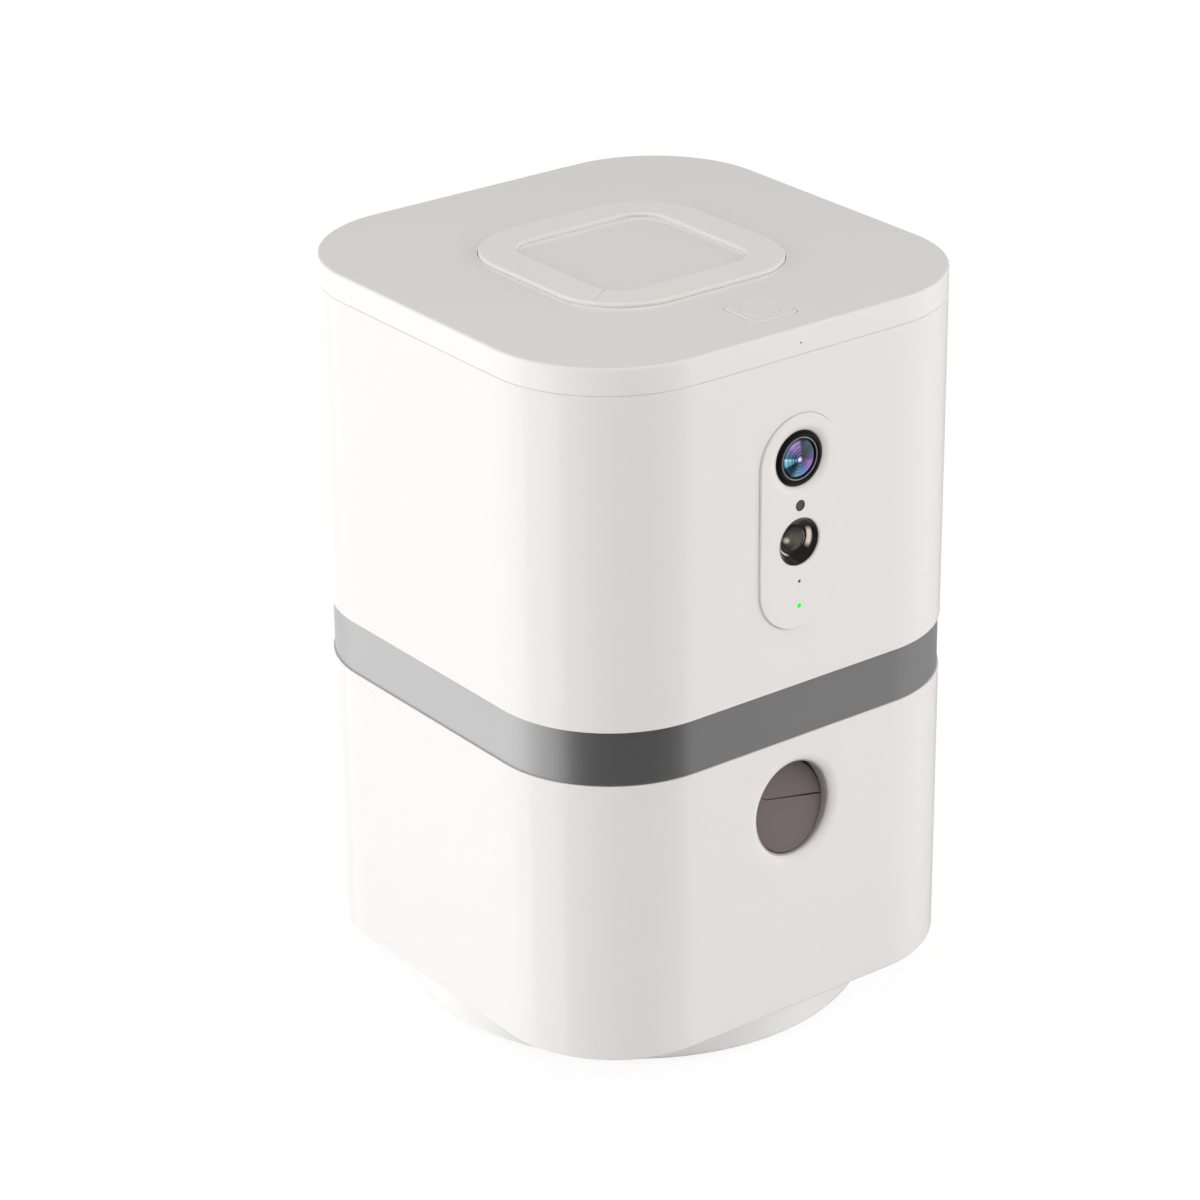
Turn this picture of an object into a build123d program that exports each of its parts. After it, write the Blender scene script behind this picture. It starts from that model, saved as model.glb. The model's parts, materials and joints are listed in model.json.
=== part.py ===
# Treat tossing pet camera: a square, round-cornered housing that pans on a round base.
# Millimetres. Origin: centre of the foot ring's underside. +Z up, the front looks along -Y.
import os
from math import acos, cos, pi, sin, sqrt, tan

from build123d import *

os.makedirs("parts", exist_ok=True)

# ---- driving dimensions ----
width = 150.0            # housing, side to side
depth = 151.2            # housing, front to back
corner = 37.9            # radius of the housing's upright corners
wall = 2.5
joint_gap = 0.1          # running gap between the base and the housing

base_top = 12.4
lower_bottom = 13.0
band_bottom = 101.6
band_top = 118.3
cover_bottom = 218.3
cover_top = 226.3
ring_top = 227.5
band_inset = 0.55        # the band stands this far inside the housing's faces
foot_edge = 0.9          # chamfer round the lower shell's bottom edge
tongue = 3.2             # how far the band and the cover reach into the shells

base_radius = 70.0
foot_outer = 66.0
foot_inner = 59.0
post_radius = 8.0

outlet_z = 78.4          # axis of the treat outlet, an upright oval
throat_half_width = 13.15
throat_half_height = 14.6
outlet_flare = 2.4       # how much wider the outlet is at the housing's face
collar_back = -67.0      # back end of the launch tube's oval collar
liner_radius = 16.5      # inside of the launch tube behind its collar
liner_wall = 1.5
liner_back = -31.0

panel_z = 168.6          # middle of the camera panel, a pad that stands out of the front
panel_half_width = 14.2
panel_height = 64.8
panel_slope = 0.9        # width of the sloped edge round the pad
panel_rise = 0.6
panel_seam = 0.1         # gap between the pad and the shell round it
panel_flange = 1.5       # thickness of the flange behind the shell
lens_z = 187.6
lens_radius = 8.3
lens_flare = 10.4        # radius of the flared seat round the lens
sensor_z = 173.7
lamp_z = 162.6
mic_z = 150.7
light_z = 143.2
board_z = 66.0           # middle of the main board
board_gap = 5.5          # from the back wall to the main board

lid_half = 37.8          # treat lid: a rounded square with a raised soft ring
lid_corner = 22.5
ring_inner_half = 25.9
ring_inner_corner = 9.0
ring_base = 225.3
lid_plate_bottom = 224.3
mouth_half = 34.0        # filling mouth under the lid
mouth_corner = 19.0
ledge_bottom = 221.8

button_y = -58.2
button_half = 7.65
button_corner = 1.8
button_travel = 0.8

speaker_z = 150.0
grille_radius = 16.0
inlet_z = 24.0           # power inlet's axis, on the back

hopper_radius = 42.0
hopper_wall = 2.0
hopper_floor = 126.0
wheel_chamber = 31.5     # inside radius round the treat wheel
wheel_radius = 31.0
pocket_orbit = 21.0
pocket_radius = 8.2
pocket_count = 5
wheel_bottom = 128.8
wheel_top = 138.4

gear_module = 1.0
sun_teeth = 48
pinion_teeth = 12
sector_teeth = 40        # teeth that a whole sector wheel would have
crank_teeth = 20
running = 0.05           # radial clearance of a shaft in its bore

arm_pivot = (-67.0, 40.0)        # launch arm's axis, as (y, z)
crank_pivot = (-37.0, 40.0)      # crank gear's axis, as (y, z)
split_y = -71.4                  # where the paddle's and the flap's front faces meet
split_z = 80.6
split_edge = ((-13.5, 87.4), (-7.5, 82.0), (15.0, 77.6))     # the paddle's top edge, as (x, z)
flap_edge = ((-13.5, 87.75), (-7.5, 82.4), (15.0, 78.6))     # the flap's lower edge
paddle_tilt = pi * 7 / 180       # both lean back at the top
flap_tilt = pi * 12 / 180
paddle_thickness = 2.1
paddle_gap = 0.3
flap_pivot = (-68.7, 93.4)       # outlet flap's axis, as (y, z)
flap_half_width = 12.6           # lower than the throat, so that the flap can swing out
flap_half_height = 13.3
flap_thickness = 1.2

front = -depth / 2
back = depth / 2
front_inner = front + wall
back_inner = back - wall


def front_plane(y, z):
    """A sketch plane that looks out of the front: x to the right, y up."""
    return Plane(origin=(0, y, z), x_dir=(1, 0, 0), z_dir=(0, -1, 0))


def back_plane(y, z):
    return Plane(origin=(0, y, z), x_dir=(-1, 0, 0), z_dir=(0, 1, 0))


def side_plane(x):
    """A sketch plane across the object: x is the row's +Y, y is its +Z."""
    return Plane.YZ.offset(x)


def keep(builder, name):
    builder.part.label = name
    export_step(builder.part, f"parts/{name}.step")


def housing_outline(inset=0.0, mode=Mode.ADD):
    """The housing's rounded square in plan, drawn this far inside its faces."""
    return RectangleRounded(width - 2 * inset, depth - 2 * inset, corner - inset, mode=mode)


def involute(angle):
    return tan(angle) - angle


def gear_outline(teeth, first=0, count=None, phase=0.0, addendum=0.85, dedendum=1.2, slack=0.10):
    """A spur gear's outline, with only `count` of its teeth cut from tooth number `first`."""
    count = teeth if count is None else count
    pitch_r = gear_module * teeth / 2
    base_r = pitch_r * cos(pi / 9)
    tip_r = pitch_r + addendum * gear_module
    root_r = pitch_r - dedendum * gear_module
    half_at_pitch = pi / (2 * teeth) * (1 - slack)

    def half_angle(radius):
        flank = involute(acos(min(1.0, base_r / radius)))
        return half_at_pitch + involute(pi / 9) - flank

    points = []
    for tooth in range(teeth):
        middle = 2 * pi * tooth / teeth + phase
        cut = (tooth - first) % teeth < count
        if cut:
            stations = [(root_r, -half_angle(base_r)), (pitch_r, -half_angle(pitch_r)),
                        (tip_r, -half_angle(tip_r)), (tip_r, half_angle(tip_r)),
                        (pitch_r, half_angle(pitch_r)), (root_r, half_angle(base_r))]
        else:
            stations = [(root_r, 0.0)]
        for radius, turn in stations:
            points.append((radius * cos(middle + turn), radius * sin(middle + turn)))
    return points


# ---- base ----
with BuildPart() as base_tray:
    with BuildSketch(Plane.XY.offset(1.0)):
        Circle(base_radius)
    extrude(amount=base_top - 1.0)
    chamfer(base_tray.faces().sort_by(Axis.Z)[0].edges(), length=1.4)
    chamfer(base_tray.faces().sort_by(Axis.Z)[-1].edges(), length=0.4)
    with BuildSketch(Plane.XY.offset(3.5)):
        Circle(base_radius - wall)
    extrude(amount=base_top, mode=Mode.SUBTRACT)
    with BuildSketch(Plane.XY.offset(3.5)):
        Circle(65.5)
        Circle(63.0, mode=Mode.SUBTRACT)
    extrude(amount=7.5)
    with BuildSketch(Plane.XY.offset(3.5)):
        Circle(post_radius)
    extrude(amount=17.8)
    with BuildSketch(Plane.XY.offset(3.5)):
        Circle(post_radius + 4.0)
    extrude(amount=7.5)
    with BuildSketch(Plane.XY.offset(1.0)):
        Circle(foot_outer)
        Circle(foot_inner, mode=Mode.SUBTRACT)
    extrude(amount=1.0, mode=Mode.SUBTRACT)
    with BuildSketch(Plane.XY.offset(15.0)):
        Circle(2.4)
    extrude(amount=8.0, mode=Mode.SUBTRACT)
keep(base_tray, "base_tray")

with BuildPart() as foot_ring:
    with BuildSketch():
        Circle(foot_outer)
        Circle(foot_inner, mode=Mode.SUBTRACT)
    extrude(amount=2.0)
    chamfer(foot_ring.faces().sort_by(Axis.Z)[0].edges(), length=0.5)
keep(foot_ring, "foot_ring")

with BuildPart() as base_weight:
    with BuildSketch(Plane.XY.offset(3.5)):
        Circle(58.0)
        Circle(20.0, mode=Mode.SUBTRACT)
        with PolarLocations(39.0, 4, start_angle=45):
            Circle(2.0, mode=Mode.SUBTRACT)
    extrude(amount=5.0)
keep(base_weight, "base_weight")

with BuildPart() as base_screws:
    with PolarLocations(39.0, 4, start_angle=45):
        with Locations((0, 0, 3.5)):
            Cylinder(radius=2.0, height=5.0, align=(Align.CENTER, Align.CENTER, Align.MIN))
        with Locations((0, 0, 8.5)):
            Cylinder(radius=3.6, height=1.8, align=(Align.CENTER, Align.CENTER, Align.MIN))
keep(base_screws, "base_screws")

with BuildPart() as glide_ring:
    with BuildSketch(Plane.XY.offset(11.0)):
        Circle(65.3)
        Circle(63.2, mode=Mode.SUBTRACT)
    extrude(amount=lower_bottom - joint_gap - 11.0)
keep(glide_ring, "glide_ring")

sun_bottom = 16.4
sun_top = 20.4
with BuildPart() as sun_gear:
    with BuildSketch(Plane.XY.offset(sun_bottom)):
        with BuildLine():
            Polyline(*gear_outline(sun_teeth), close=True)
        make_face()
        Circle(post_radius, mode=Mode.SUBTRACT)
        with PolarLocations(15.5, 6):
            Circle(3.5, mode=Mode.SUBTRACT)
    extrude(amount=sun_top - sun_bottom)
keep(sun_gear, "sun_gear")

with BuildPart() as post_screw:
    with BuildSketch(Plane.XY.offset(21.3)):
        Circle(9.5)
    extrude(amount=1.5)
    with BuildSketch(Plane.XY.offset(15.0)):
        Circle(2.4)
    extrude(amount=6.3)
    with BuildSketch(Plane.XY.offset(22.8)):
        Circle(4.5)
    extrude(amount=2.2)
keep(post_screw, "post_screw")

# ---- housing: floor, shells, band and cover ----
screw_spots = [(x, y) for x in (-68.0, 68.0) for y in (-35.0, 35.0)]

with BuildPart() as floor_plate:
    with BuildSketch(Plane.XY.offset(lower_bottom)):
        housing_outline(wall)
        Circle(13.0, mode=Mode.SUBTRACT)
        with Locations(*screw_spots):
            Circle(1.5, mode=Mode.SUBTRACT)
    extrude(amount=wall)
keep(floor_plate, "floor_plate")

with BuildPart() as pan_bush:
    with BuildSketch(Plane.XY.offset(lower_bottom)):
        Circle(13.0)
        Circle(post_radius + running, mode=Mode.SUBTRACT)
    extrude(amount=wall)
keep(pan_bush, "pan_bush")

with BuildPart() as lower_shell:
    with BuildSketch(Plane.XY.offset(lower_bottom)):
        housing_outline()
    extrude(amount=band_bottom - lower_bottom)
    chamfer(lower_shell.faces().sort_by(Axis.Z)[0].edges(), length=foot_edge)
    with BuildSketch(Plane.XY.offset(lower_bottom)):
        housing_outline(wall)
    extrude(amount=band_bottom - lower_bottom, mode=Mode.SUBTRACT)
    with BuildSketch(Plane.XY.offset(lower_bottom + wall)):
        with Locations(*screw_spots):
            Circle(4.8)
    extrude(amount=24.0)
    with BuildSketch(back_plane(back_inner, board_z)):
        with GridLocations(60.0, 44.0, 2, 2):
            Circle(2.5)
    extrude(amount=-board_gap)
    with BuildSketch(Plane.XY.offset(lower_bottom + wall)):
        with Locations(*screw_spots):
            Circle(1.5)
    extrude(amount=20.0, mode=Mode.SUBTRACT)
    for inward, wider in ((wall, 0.0), (1.1, 0.4), (0.0, outlet_flare)):
        with BuildSketch(front_plane(front + inward, outlet_z)):
            Ellipse(throat_half_width + wider, throat_half_height + wider)
    loft(ruled=True, mode=Mode.SUBTRACT)
    with BuildSketch(back_plane(back_inner, inlet_z)):
        Circle(4.0)
    extrude(amount=wall, mode=Mode.SUBTRACT)
keep(lower_shell, "lower_shell")

with BuildPart() as housing_screws:
    for x, y in screw_spots:
        with Locations((x, y, lower_bottom)):
            Cylinder(radius=1.5, height=14.0, align=(Align.CENTER, Align.CENTER, Align.MIN))
        with Locations((x, y, lower_bottom - 1.6)):
            Cylinder(radius=2.8, height=1.6, align=(Align.CENTER, Align.CENTER, Align.MIN))
keep(housing_screws, "housing_screws")

with BuildPart() as band:
    with BuildSketch(Plane.XY.offset(band_bottom)):
        housing_outline(band_inset)
    extrude(amount=band_top - band_bottom)
    with BuildSketch(Plane.XY.offset(band_bottom - tongue)):
        housing_outline(wall)
    extrude(amount=band_top - band_bottom + 2 * tongue)
    with BuildSketch(Plane.XY.offset(band_bottom - tongue)):
        housing_outline(2 * wall - 0.7)
    extrude(amount=band_top - band_bottom + 2 * tongue, mode=Mode.SUBTRACT)
keep(band, "band")

with BuildPart() as upper_shell:
    with BuildSketch(Plane.XY.offset(band_top)):
        housing_outline()
    extrude(amount=cover_bottom - band_top)
    with BuildSketch(Plane.XY.offset(band_top)):
        housing_outline(wall)
    extrude(amount=cover_bottom - band_top, mode=Mode.SUBTRACT)
    with BuildSketch(front_plane(front_inner, panel_z)):
        SlotOverall(panel_height + 2 * panel_seam, 2 * (panel_half_width + panel_seam), rotation=90)
    extrude(amount=wall, mode=Mode.SUBTRACT)
    with BuildSketch(back_plane(back_inner, speaker_z)):
        Circle(grille_radius)
    extrude(amount=wall, mode=Mode.SUBTRACT)
keep(upper_shell, "upper_shell")

with BuildPart() as top_cover:
    with BuildSketch(Plane.XY.offset(cover_bottom)):
        housing_outline()
    extrude(amount=cover_top - cover_bottom)
    chamfer(top_cover.faces().sort_by(Axis.Z)[-1].edges(), length=0.4)
    with BuildSketch(Plane.XY.offset(cover_bottom)):
        housing_outline(wall)
    extrude(amount=cover_top - cover_bottom - wall, mode=Mode.SUBTRACT)
    with BuildSketch(Plane.XY.offset(cover_bottom - tongue)):
        housing_outline(wall)
        housing_outline(2 * wall - 0.7, mode=Mode.SUBTRACT)
    extrude(amount=tongue + 1.0)
    with BuildSketch(Plane.XY.offset(ledge_bottom)):
        RectangleRounded(2 * mouth_half + 16, 2 * mouth_half + 16, mouth_corner + 8)
    extrude(amount=cover_top - ledge_bottom - 1.0)
    with BuildSketch(Plane.XY.offset(lid_plate_bottom)):
        RectangleRounded(2 * lid_half + 0.7, 2 * lid_half + 0.7, lid_corner + 0.35)
    extrude(amount=cover_top - lid_plate_bottom, mode=Mode.SUBTRACT)
    with BuildSketch(Plane.XY.offset(ledge_bottom)):
        RectangleRounded(2 * mouth_half, 2 * mouth_half, mouth_corner)
    extrude(amount=cover_top - ledge_bottom, mode=Mode.SUBTRACT)
    with BuildSketch(Plane.XY.offset(cover_bottom)):
        with Locations((0, button_y)):
            RectangleRounded(2 * button_half + 0.3, 2 * button_half + 0.3, button_corner)
    extrude(amount=cover_top - cover_bottom, mode=Mode.SUBTRACT)
    with BuildSketch(front_plane(front_inner, 221.7)):
        Circle(0.35)
    extrude(amount=wall, mode=Mode.SUBTRACT)
keep(top_cover, "top_cover")

# ---- treat lid ----
with BuildPart() as fill_lid:
    with BuildSketch(Plane.XY.offset(lid_plate_bottom)):
        RectangleRounded(2 * lid_half, 2 * lid_half, lid_corner)
    extrude(amount=ring_base - lid_plate_bottom)
    with BuildSketch(Plane.XY.offset(ring_base)):
        RectangleRounded(2 * ring_inner_half, 2 * ring_inner_half, ring_inner_corner)
    extrude(amount=cover_top - ring_base)
    with BuildSketch(Plane.XY.offset(212.0)):
        RectangleRounded(2 * mouth_half - 0.8, 2 * mouth_half - 0.8, mouth_corner - 0.4)
        RectangleRounded(2 * mouth_half - 4.8, 2 * mouth_half - 4.8, mouth_corner - 2.4, mode=Mode.SUBTRACT)
    extrude(amount=lid_plate_bottom - 212.0)
    with BuildSketch(Plane.XY.offset(217.0)):
        RectangleRounded(2 * mouth_half, 2 * mouth_half, mouth_corner)
        RectangleRounded(2 * mouth_half - 2.2, 2 * mouth_half - 2.2, mouth_corner - 1.1, mode=Mode.SUBTRACT)
    extrude(amount=2.0, mode=Mode.SUBTRACT)
keep(fill_lid, "fill_lid")

with BuildPart() as grip_ring:
    with BuildSketch(Plane.XY.offset(ring_base)):
        RectangleRounded(2 * lid_half, 2 * lid_half, lid_corner)
        RectangleRounded(2 * ring_inner_half, 2 * ring_inner_half, ring_inner_corner, mode=Mode.SUBTRACT)
    extrude(amount=ring_top - ring_base)
    chamfer(grip_ring.faces().sort_by(Axis.Z)[-1].edges(), length=0.6)
keep(grip_ring, "grip_ring")

with BuildPart() as lid_seal:
    with BuildSketch(Plane.XY.offset(217.0)):
        RectangleRounded(2 * mouth_half - 0.2, 2 * mouth_half - 0.2, mouth_corner - 0.1)
        RectangleRounded(2 * mouth_half - 2.2, 2 * mouth_half - 2.2, mouth_corner - 1.1, mode=Mode.SUBTRACT)
    extrude(amount=2.0)
keep(lid_seal, "lid_seal")

# ---- top button ----
switch_top = 218.6
with BuildPart() as set_button:
    with BuildSketch(Plane.XY.offset(221.6)):
        with Locations((0, button_y)):
            RectangleRounded(2 * button_half, 2 * button_half, button_corner)
    extrude(amount=cover_top + 0.15 - 221.6)
    chamfer(set_button.faces().sort_by(Axis.Z)[-1].edges(), length=0.25)
    with BuildSketch(Plane.XY.offset(222.0)):
        with Locations((0, button_y)):
            RectangleRounded(2 * button_half + 2.2, 2 * button_half + 2.2, button_corner)
    extrude(amount=1.6)
    with BuildSketch(Plane.XY.offset(switch_top + button_travel + 0.05)):
        with Locations((0, button_y)):
            Circle(2.0)
    extrude(amount=3.0)
keep(set_button, "set_button")

with BuildPart() as tact_switch:
    with BuildSketch(Plane.XY.offset(215.0)):
        with Locations((0, button_y)):
            Rectangle(6.0, 6.0)
    extrude(amount=switch_top - 215.0 - 0.6)
    with BuildSketch(Plane.XY.offset(215.0)):
        with Locations((0, button_y)):
            Circle(1.7)
    extrude(amount=switch_top - 215.0)
keep(tact_switch, "tact_switch")

with BuildPart() as button_board:
    with BuildSketch(Plane.XY.offset(213.4)):
        with Locations((0, -59.0)):
            Rectangle(30.0, 22.0)
    extrude(amount=1.6)
    with BuildSketch(Plane.XY.offset(215.0)):
        with Locations((-12.5, -59.0), (12.5, -59.0)):
            Circle(2.0)
    extrude(amount=cover_top - wall - 215.0)
keep(button_board, "button_board")

# ---- camera panel ----
panel_face = front - panel_rise
panel_back = front_inner + panel_flange
with BuildPart() as camera_panel:
    with BuildSketch(front_plane(panel_face, panel_z)):
        SlotOverall(panel_height - 2 * panel_slope, 2 * (panel_half_width - panel_slope), rotation=90)
    with BuildSketch(front_plane(front, panel_z)):
        SlotOverall(panel_height, 2 * panel_half_width, rotation=90)
    loft(ruled=True)
    with BuildSketch(front_plane(front, panel_z)):
        SlotOverall(panel_height, 2 * panel_half_width, rotation=90)
    extrude(amount=-wall)
    with BuildSketch(front_plane(front_inner, panel_z)):
        SlotOverall(panel_height + 2.6, 2 * panel_half_width + 2.6, rotation=90)
    extrude(amount=-panel_flange)
    for hole_z, hole_r in ((lens_z, lens_radius), (sensor_z, 1.65), (lamp_z, 7.1), (mic_z, 0.5), (light_z, 0.8)):
        with BuildSketch(front_plane(panel_face, hole_z)):
            Circle(hole_r)
        extrude(amount=-(panel_back - panel_face), mode=Mode.SUBTRACT)
    with BuildSketch(front_plane(panel_face, lens_z)):
        Circle(lens_flare)
    with BuildSketch(front_plane(panel_face + 0.3, lens_z)):
        Circle(9.3)
    with BuildSketch(front_plane(panel_face + 0.9, lens_z)):
        Circle(lens_radius)
    loft(ruled=True, mode=Mode.SUBTRACT)
keep(camera_panel, "camera_panel")


def turned(name, z, profile):
    """A piece turned about the panel's normal at height z; profile is (radius, y) points."""
    with BuildPart() as piece:
        with BuildSketch(Plane(origin=(0, 0, z), x_dir=(1, 0, 0), z_dir=(0, 0, 1))):
            with BuildLine():
                Polyline(*profile, close=True)
            make_face()
        revolve(axis=Axis((0, 0, z), (0, 1, 0)))
    keep(piece, name)


turned("lens_bezel", lens_z, [(6.35, panel_face + 0.4), (6.9, panel_face + 0.15), (8.0, panel_face + 0.4),
                              (8.3, panel_face + 0.9), (8.3, panel_back), (6.35, panel_back)])
turned("lens_trim", lens_z, [(5.75, panel_face + 0.9), (6.1, panel_face + 0.3), (6.35, panel_face + 0.4),
                             (6.35, panel_back), (5.75, panel_back)])
turned("lens_glass", lens_z, [(0, panel_face - 0.1), (2.2, panel_face + 0.1), (4.2, panel_face + 0.6),
                              (5.75, panel_face + 1.3), (5.75, panel_face + 3.1), (0, panel_face + 3.1)])
turned("lens_barrel", lens_z, [(0, panel_back), (8.0, panel_back), (8.0, panel_back + 5.0), (6.5, panel_back + 6.0),
                               (6.5, -59.6), (0, -59.6)])
turned("light_sensor", sensor_z, [(0, panel_face + 0.1), (1.65, panel_face + 0.1), (1.65, panel_back),
                                  (0, panel_back)])
turned("lamp_bezel", lamp_z, [(6.4, panel_face + 0.8), (6.7, panel_face + 0.4), (7.1, panel_face + 0.5),
                              (7.1, panel_back), (6.4, panel_back)])
turned("lamp_reflector", lamp_z, [(4.2, panel_face + 3.4), (4.9, panel_face + 3.0), (5.8, panel_face + 1.9),
                                  (6.4, panel_face + 0.8), (6.4, panel_back), (4.2, panel_back)])
turned("lamp_dome", lamp_z, [(0, panel_face + 1.2), (1.6, panel_face + 1.4), (3.0, panel_face + 2.0),
                             (4.1, panel_face + 3.4), (4.1, panel_back), (2.3, panel_back),
                             (2.3, panel_face + 3.3), (0, panel_face + 2.9)])
turned("lamp_emitter", lamp_z, [(0, panel_face + 3.4), (1.6, panel_face + 3.5), (2.0, panel_face + 3.9),
                                (2.0, panel_back), (0, panel_back)])
turned("status_light", light_z, [(0, panel_face - 0.05), (0.8, panel_face + 0.05), (0.8, panel_back + 0.5),
                                 (0, panel_back + 0.5)])
turned("panel_mic", mic_z, [(0, panel_back), (3.0, panel_back), (3.0, panel_back + 2.2), (0, panel_back + 2.2)])

with BuildPart() as camera_board:
    with BuildSketch(front_plane(-58.0, panel_z + 3.0)):
        Rectangle(26.0, 60.0)
    extrude(amount=1.6)
    with BuildSketch(front_plane(-59.6, panel_z + 3.0)):
        with GridLocations(14.0, 50.0, 2, 2):
            Circle(2.0)
    extrude(amount=-59.6 - panel_back)
keep(camera_board, "camera_board")

# ---- hopper, wheel and chute ----
drop_y = -pocket_orbit
drop_radius = 8.5
hopper_top = ledge_bottom
with BuildPart() as hopper:
    with BuildSketch(Plane.XZ):
        with BuildLine():
            Polyline((0, hopper_floor), (wheel_chamber + hopper_wall, hopper_floor),
                     (wheel_chamber + hopper_wall, 142.0), (hopper_radius + hopper_wall, 158.0),
                     (hopper_radius + hopper_wall, 218.0), (49.0, 219.8), (49.0, hopper_top),
                     (hopper_radius, hopper_top), (hopper_radius, 158.8), (wheel_chamber, 142.8),
                     (wheel_chamber, hopper_floor + 2.4), (0, hopper_floor + 2.4), close=True)
        make_face()
    revolve(axis=Axis.Z)
    with BuildSketch(Plane.XY.offset(hopper_floor)):
        Circle(2.5 + running)
        with Locations((0, drop_y)):
            Circle(drop_radius)
    extrude(amount=2.4, mode=Mode.SUBTRACT)
keep(hopper, "hopper")

with BuildPart() as pocket_guard:
    with BuildSketch(Plane.XY.offset(139.2)):
        Circle(wheel_chamber)
        Circle(10.0, mode=Mode.SUBTRACT)
        Polygon((0, 0), (-wheel_chamber, -2 * wheel_chamber), (wheel_chamber, -2 * wheel_chamber),
                align=None, mode=Mode.INTERSECT)
    extrude(amount=1.2)
keep(pocket_guard, "pocket_guard")

with BuildPart() as treat_wheel:
    with BuildSketch(Plane.XY.offset(wheel_bottom)):
        Circle(wheel_radius)
        with PolarLocations(pocket_orbit, pocket_count, start_angle=-90):
            Circle(pocket_radius, mode=Mode.SUBTRACT)
    extrude(amount=wheel_top - wheel_bottom)
    with BuildSketch(Plane.XY.offset(wheel_bottom)):
        Circle(2.5)
    extrude(amount=wheel_top - wheel_bottom, mode=Mode.SUBTRACT)
keep(treat_wheel, "treat_wheel")

with BuildPart() as wheel_shaft:
    with BuildSketch(Plane.XY.offset(119.0)):
        Circle(2.5)
    extrude(amount=wheel_top - 119.0)
keep(wheel_shaft, "wheel_shaft")

with BuildPart() as agitator:
    with BuildSketch(Plane.XY.offset(wheel_top)):
        Circle(7.0)
    with BuildSketch(Plane.XY.offset(151.0)):
        Circle(3.0)
    loft(ruled=True)
    with BuildSketch(Plane.XY.offset(142.5)):
        with PolarLocations(0, 3):
            with Locations((11.5, 0)):
                SlotOverall(19.0, 3.0)
    extrude(amount=4.0)
keep(agitator, "agitator")

with BuildPart() as wheel_motor:
    with BuildSketch(Plane.XY.offset(102.0)):
        Circle(9.0)
    extrude(amount=hopper_floor - 102.0)
    with BuildSketch(Plane.XY.offset(118.0)):
        Circle(2.5 + running)
    extrude(amount=8.0, mode=Mode.SUBTRACT)
    with BuildSketch(Plane.XY.offset(hopper_floor - 3.0)):
        with GridLocations(26.0, 0.0, 2, 1):
            Circle(3.0)
        Rectangle(26.0, 6.0)
        Circle(2.5 + running, mode=Mode.SUBTRACT)
    extrude(amount=3.0)
keep(wheel_motor, "wheel_motor")

chute_y = -57.0
chute_half = 9.0         # from the chute's middle to its inner flats
chute_wall = 1.6
chute_bottom = 88.0
chute_ends = ((hopper_floor, drop_y), (chute_bottom, chute_y))
with BuildPart() as drop_chute:
    for half, mode in ((chute_half + chute_wall, Mode.ADD), (chute_half, Mode.SUBTRACT)):
        for height, middle in chute_ends:
            with BuildSketch(Plane.XY.offset(height)):
                with Locations((0, middle)):
                    RegularPolygon(radius=half, side_count=8, major_radius=False, rotation=22.5)
        loft(ruled=True, mode=mode)
    with BuildSketch(front_plane(0, outlet_z)):
        Circle(liner_radius + liner_wall)
    extrude(amount=depth / 2, mode=Mode.SUBTRACT)
keep(drop_chute, "drop_chute")

# ---- launch tube, flap and paddle ----
# The split between the paddle's top edge and the flap's lower edge falls to the right.
flap_notch_back = -66.0
pin_radius = 0.8
arm_bore = 2.0


def leaning_plane(tilt):
    """A sketch plane through the split that faces the front and leans back by this angle."""
    return Plane(origin=(0, split_y, split_z), x_dir=(1, 0, 0), z_dir=(0, -cos(tilt), sin(tilt)))


def paddle_back(z):
    """The y of the paddle's back face at this height."""
    return split_y + (z - split_z) * tan(paddle_tilt) + paddle_thickness


with BuildPart() as launch_tube:
    with BuildSketch(front_plane(front_inner, outlet_z)):
        Circle(liner_radius + liner_wall)
    extrude(amount=-(liner_back + liner_wall - front_inner))
    with BuildSketch(front_plane(front_inner, outlet_z)):
        Ellipse(throat_half_width, throat_half_height)
    extrude(amount=-(collar_back - front_inner), mode=Mode.SUBTRACT)
    with BuildSketch(front_plane(collar_back, outlet_z)):
        Circle(liner_radius)
    extrude(amount=-(liner_back - collar_back), mode=Mode.SUBTRACT)
    with BuildSketch(Plane.XY.offset(outlet_z - 20.0)):
        with Locations((0, (front_inner - 44.0) / 2)):
            Rectangle(9.0, -front_inner - 44.0)
    extrude(amount=8.0, mode=Mode.SUBTRACT)
    with BuildSketch(Plane.XY.offset(outlet_z + 8.0)):
        with Locations((0, (front_inner + flap_notch_back) / 2)):
            Rectangle(12.0, flap_notch_back - front_inner)
    extrude(amount=12.0, mode=Mode.SUBTRACT)
    for height, middle in chute_ends:
        with BuildSketch(Plane.XY.offset(height)):
            with Locations((0, middle)):
                RegularPolygon(radius=chute_half, side_count=8, major_radius=False, rotation=22.5)
    loft(ruled=True, mode=Mode.SUBTRACT)
    with BuildSketch(side_plane(-12.0)):
        with Locations(flap_pivot):
            Circle(pin_radius)
    extrude(amount=24.0, mode=Mode.SUBTRACT)
keep(launch_tube, "launch_tube")

with BuildPart() as flap_pin:
    with BuildSketch(side_plane(-9.6)):
        with Locations(flap_pivot):
            Circle(pin_radius)
    extrude(amount=19.2)
keep(flap_pin, "flap_pin")

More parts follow.
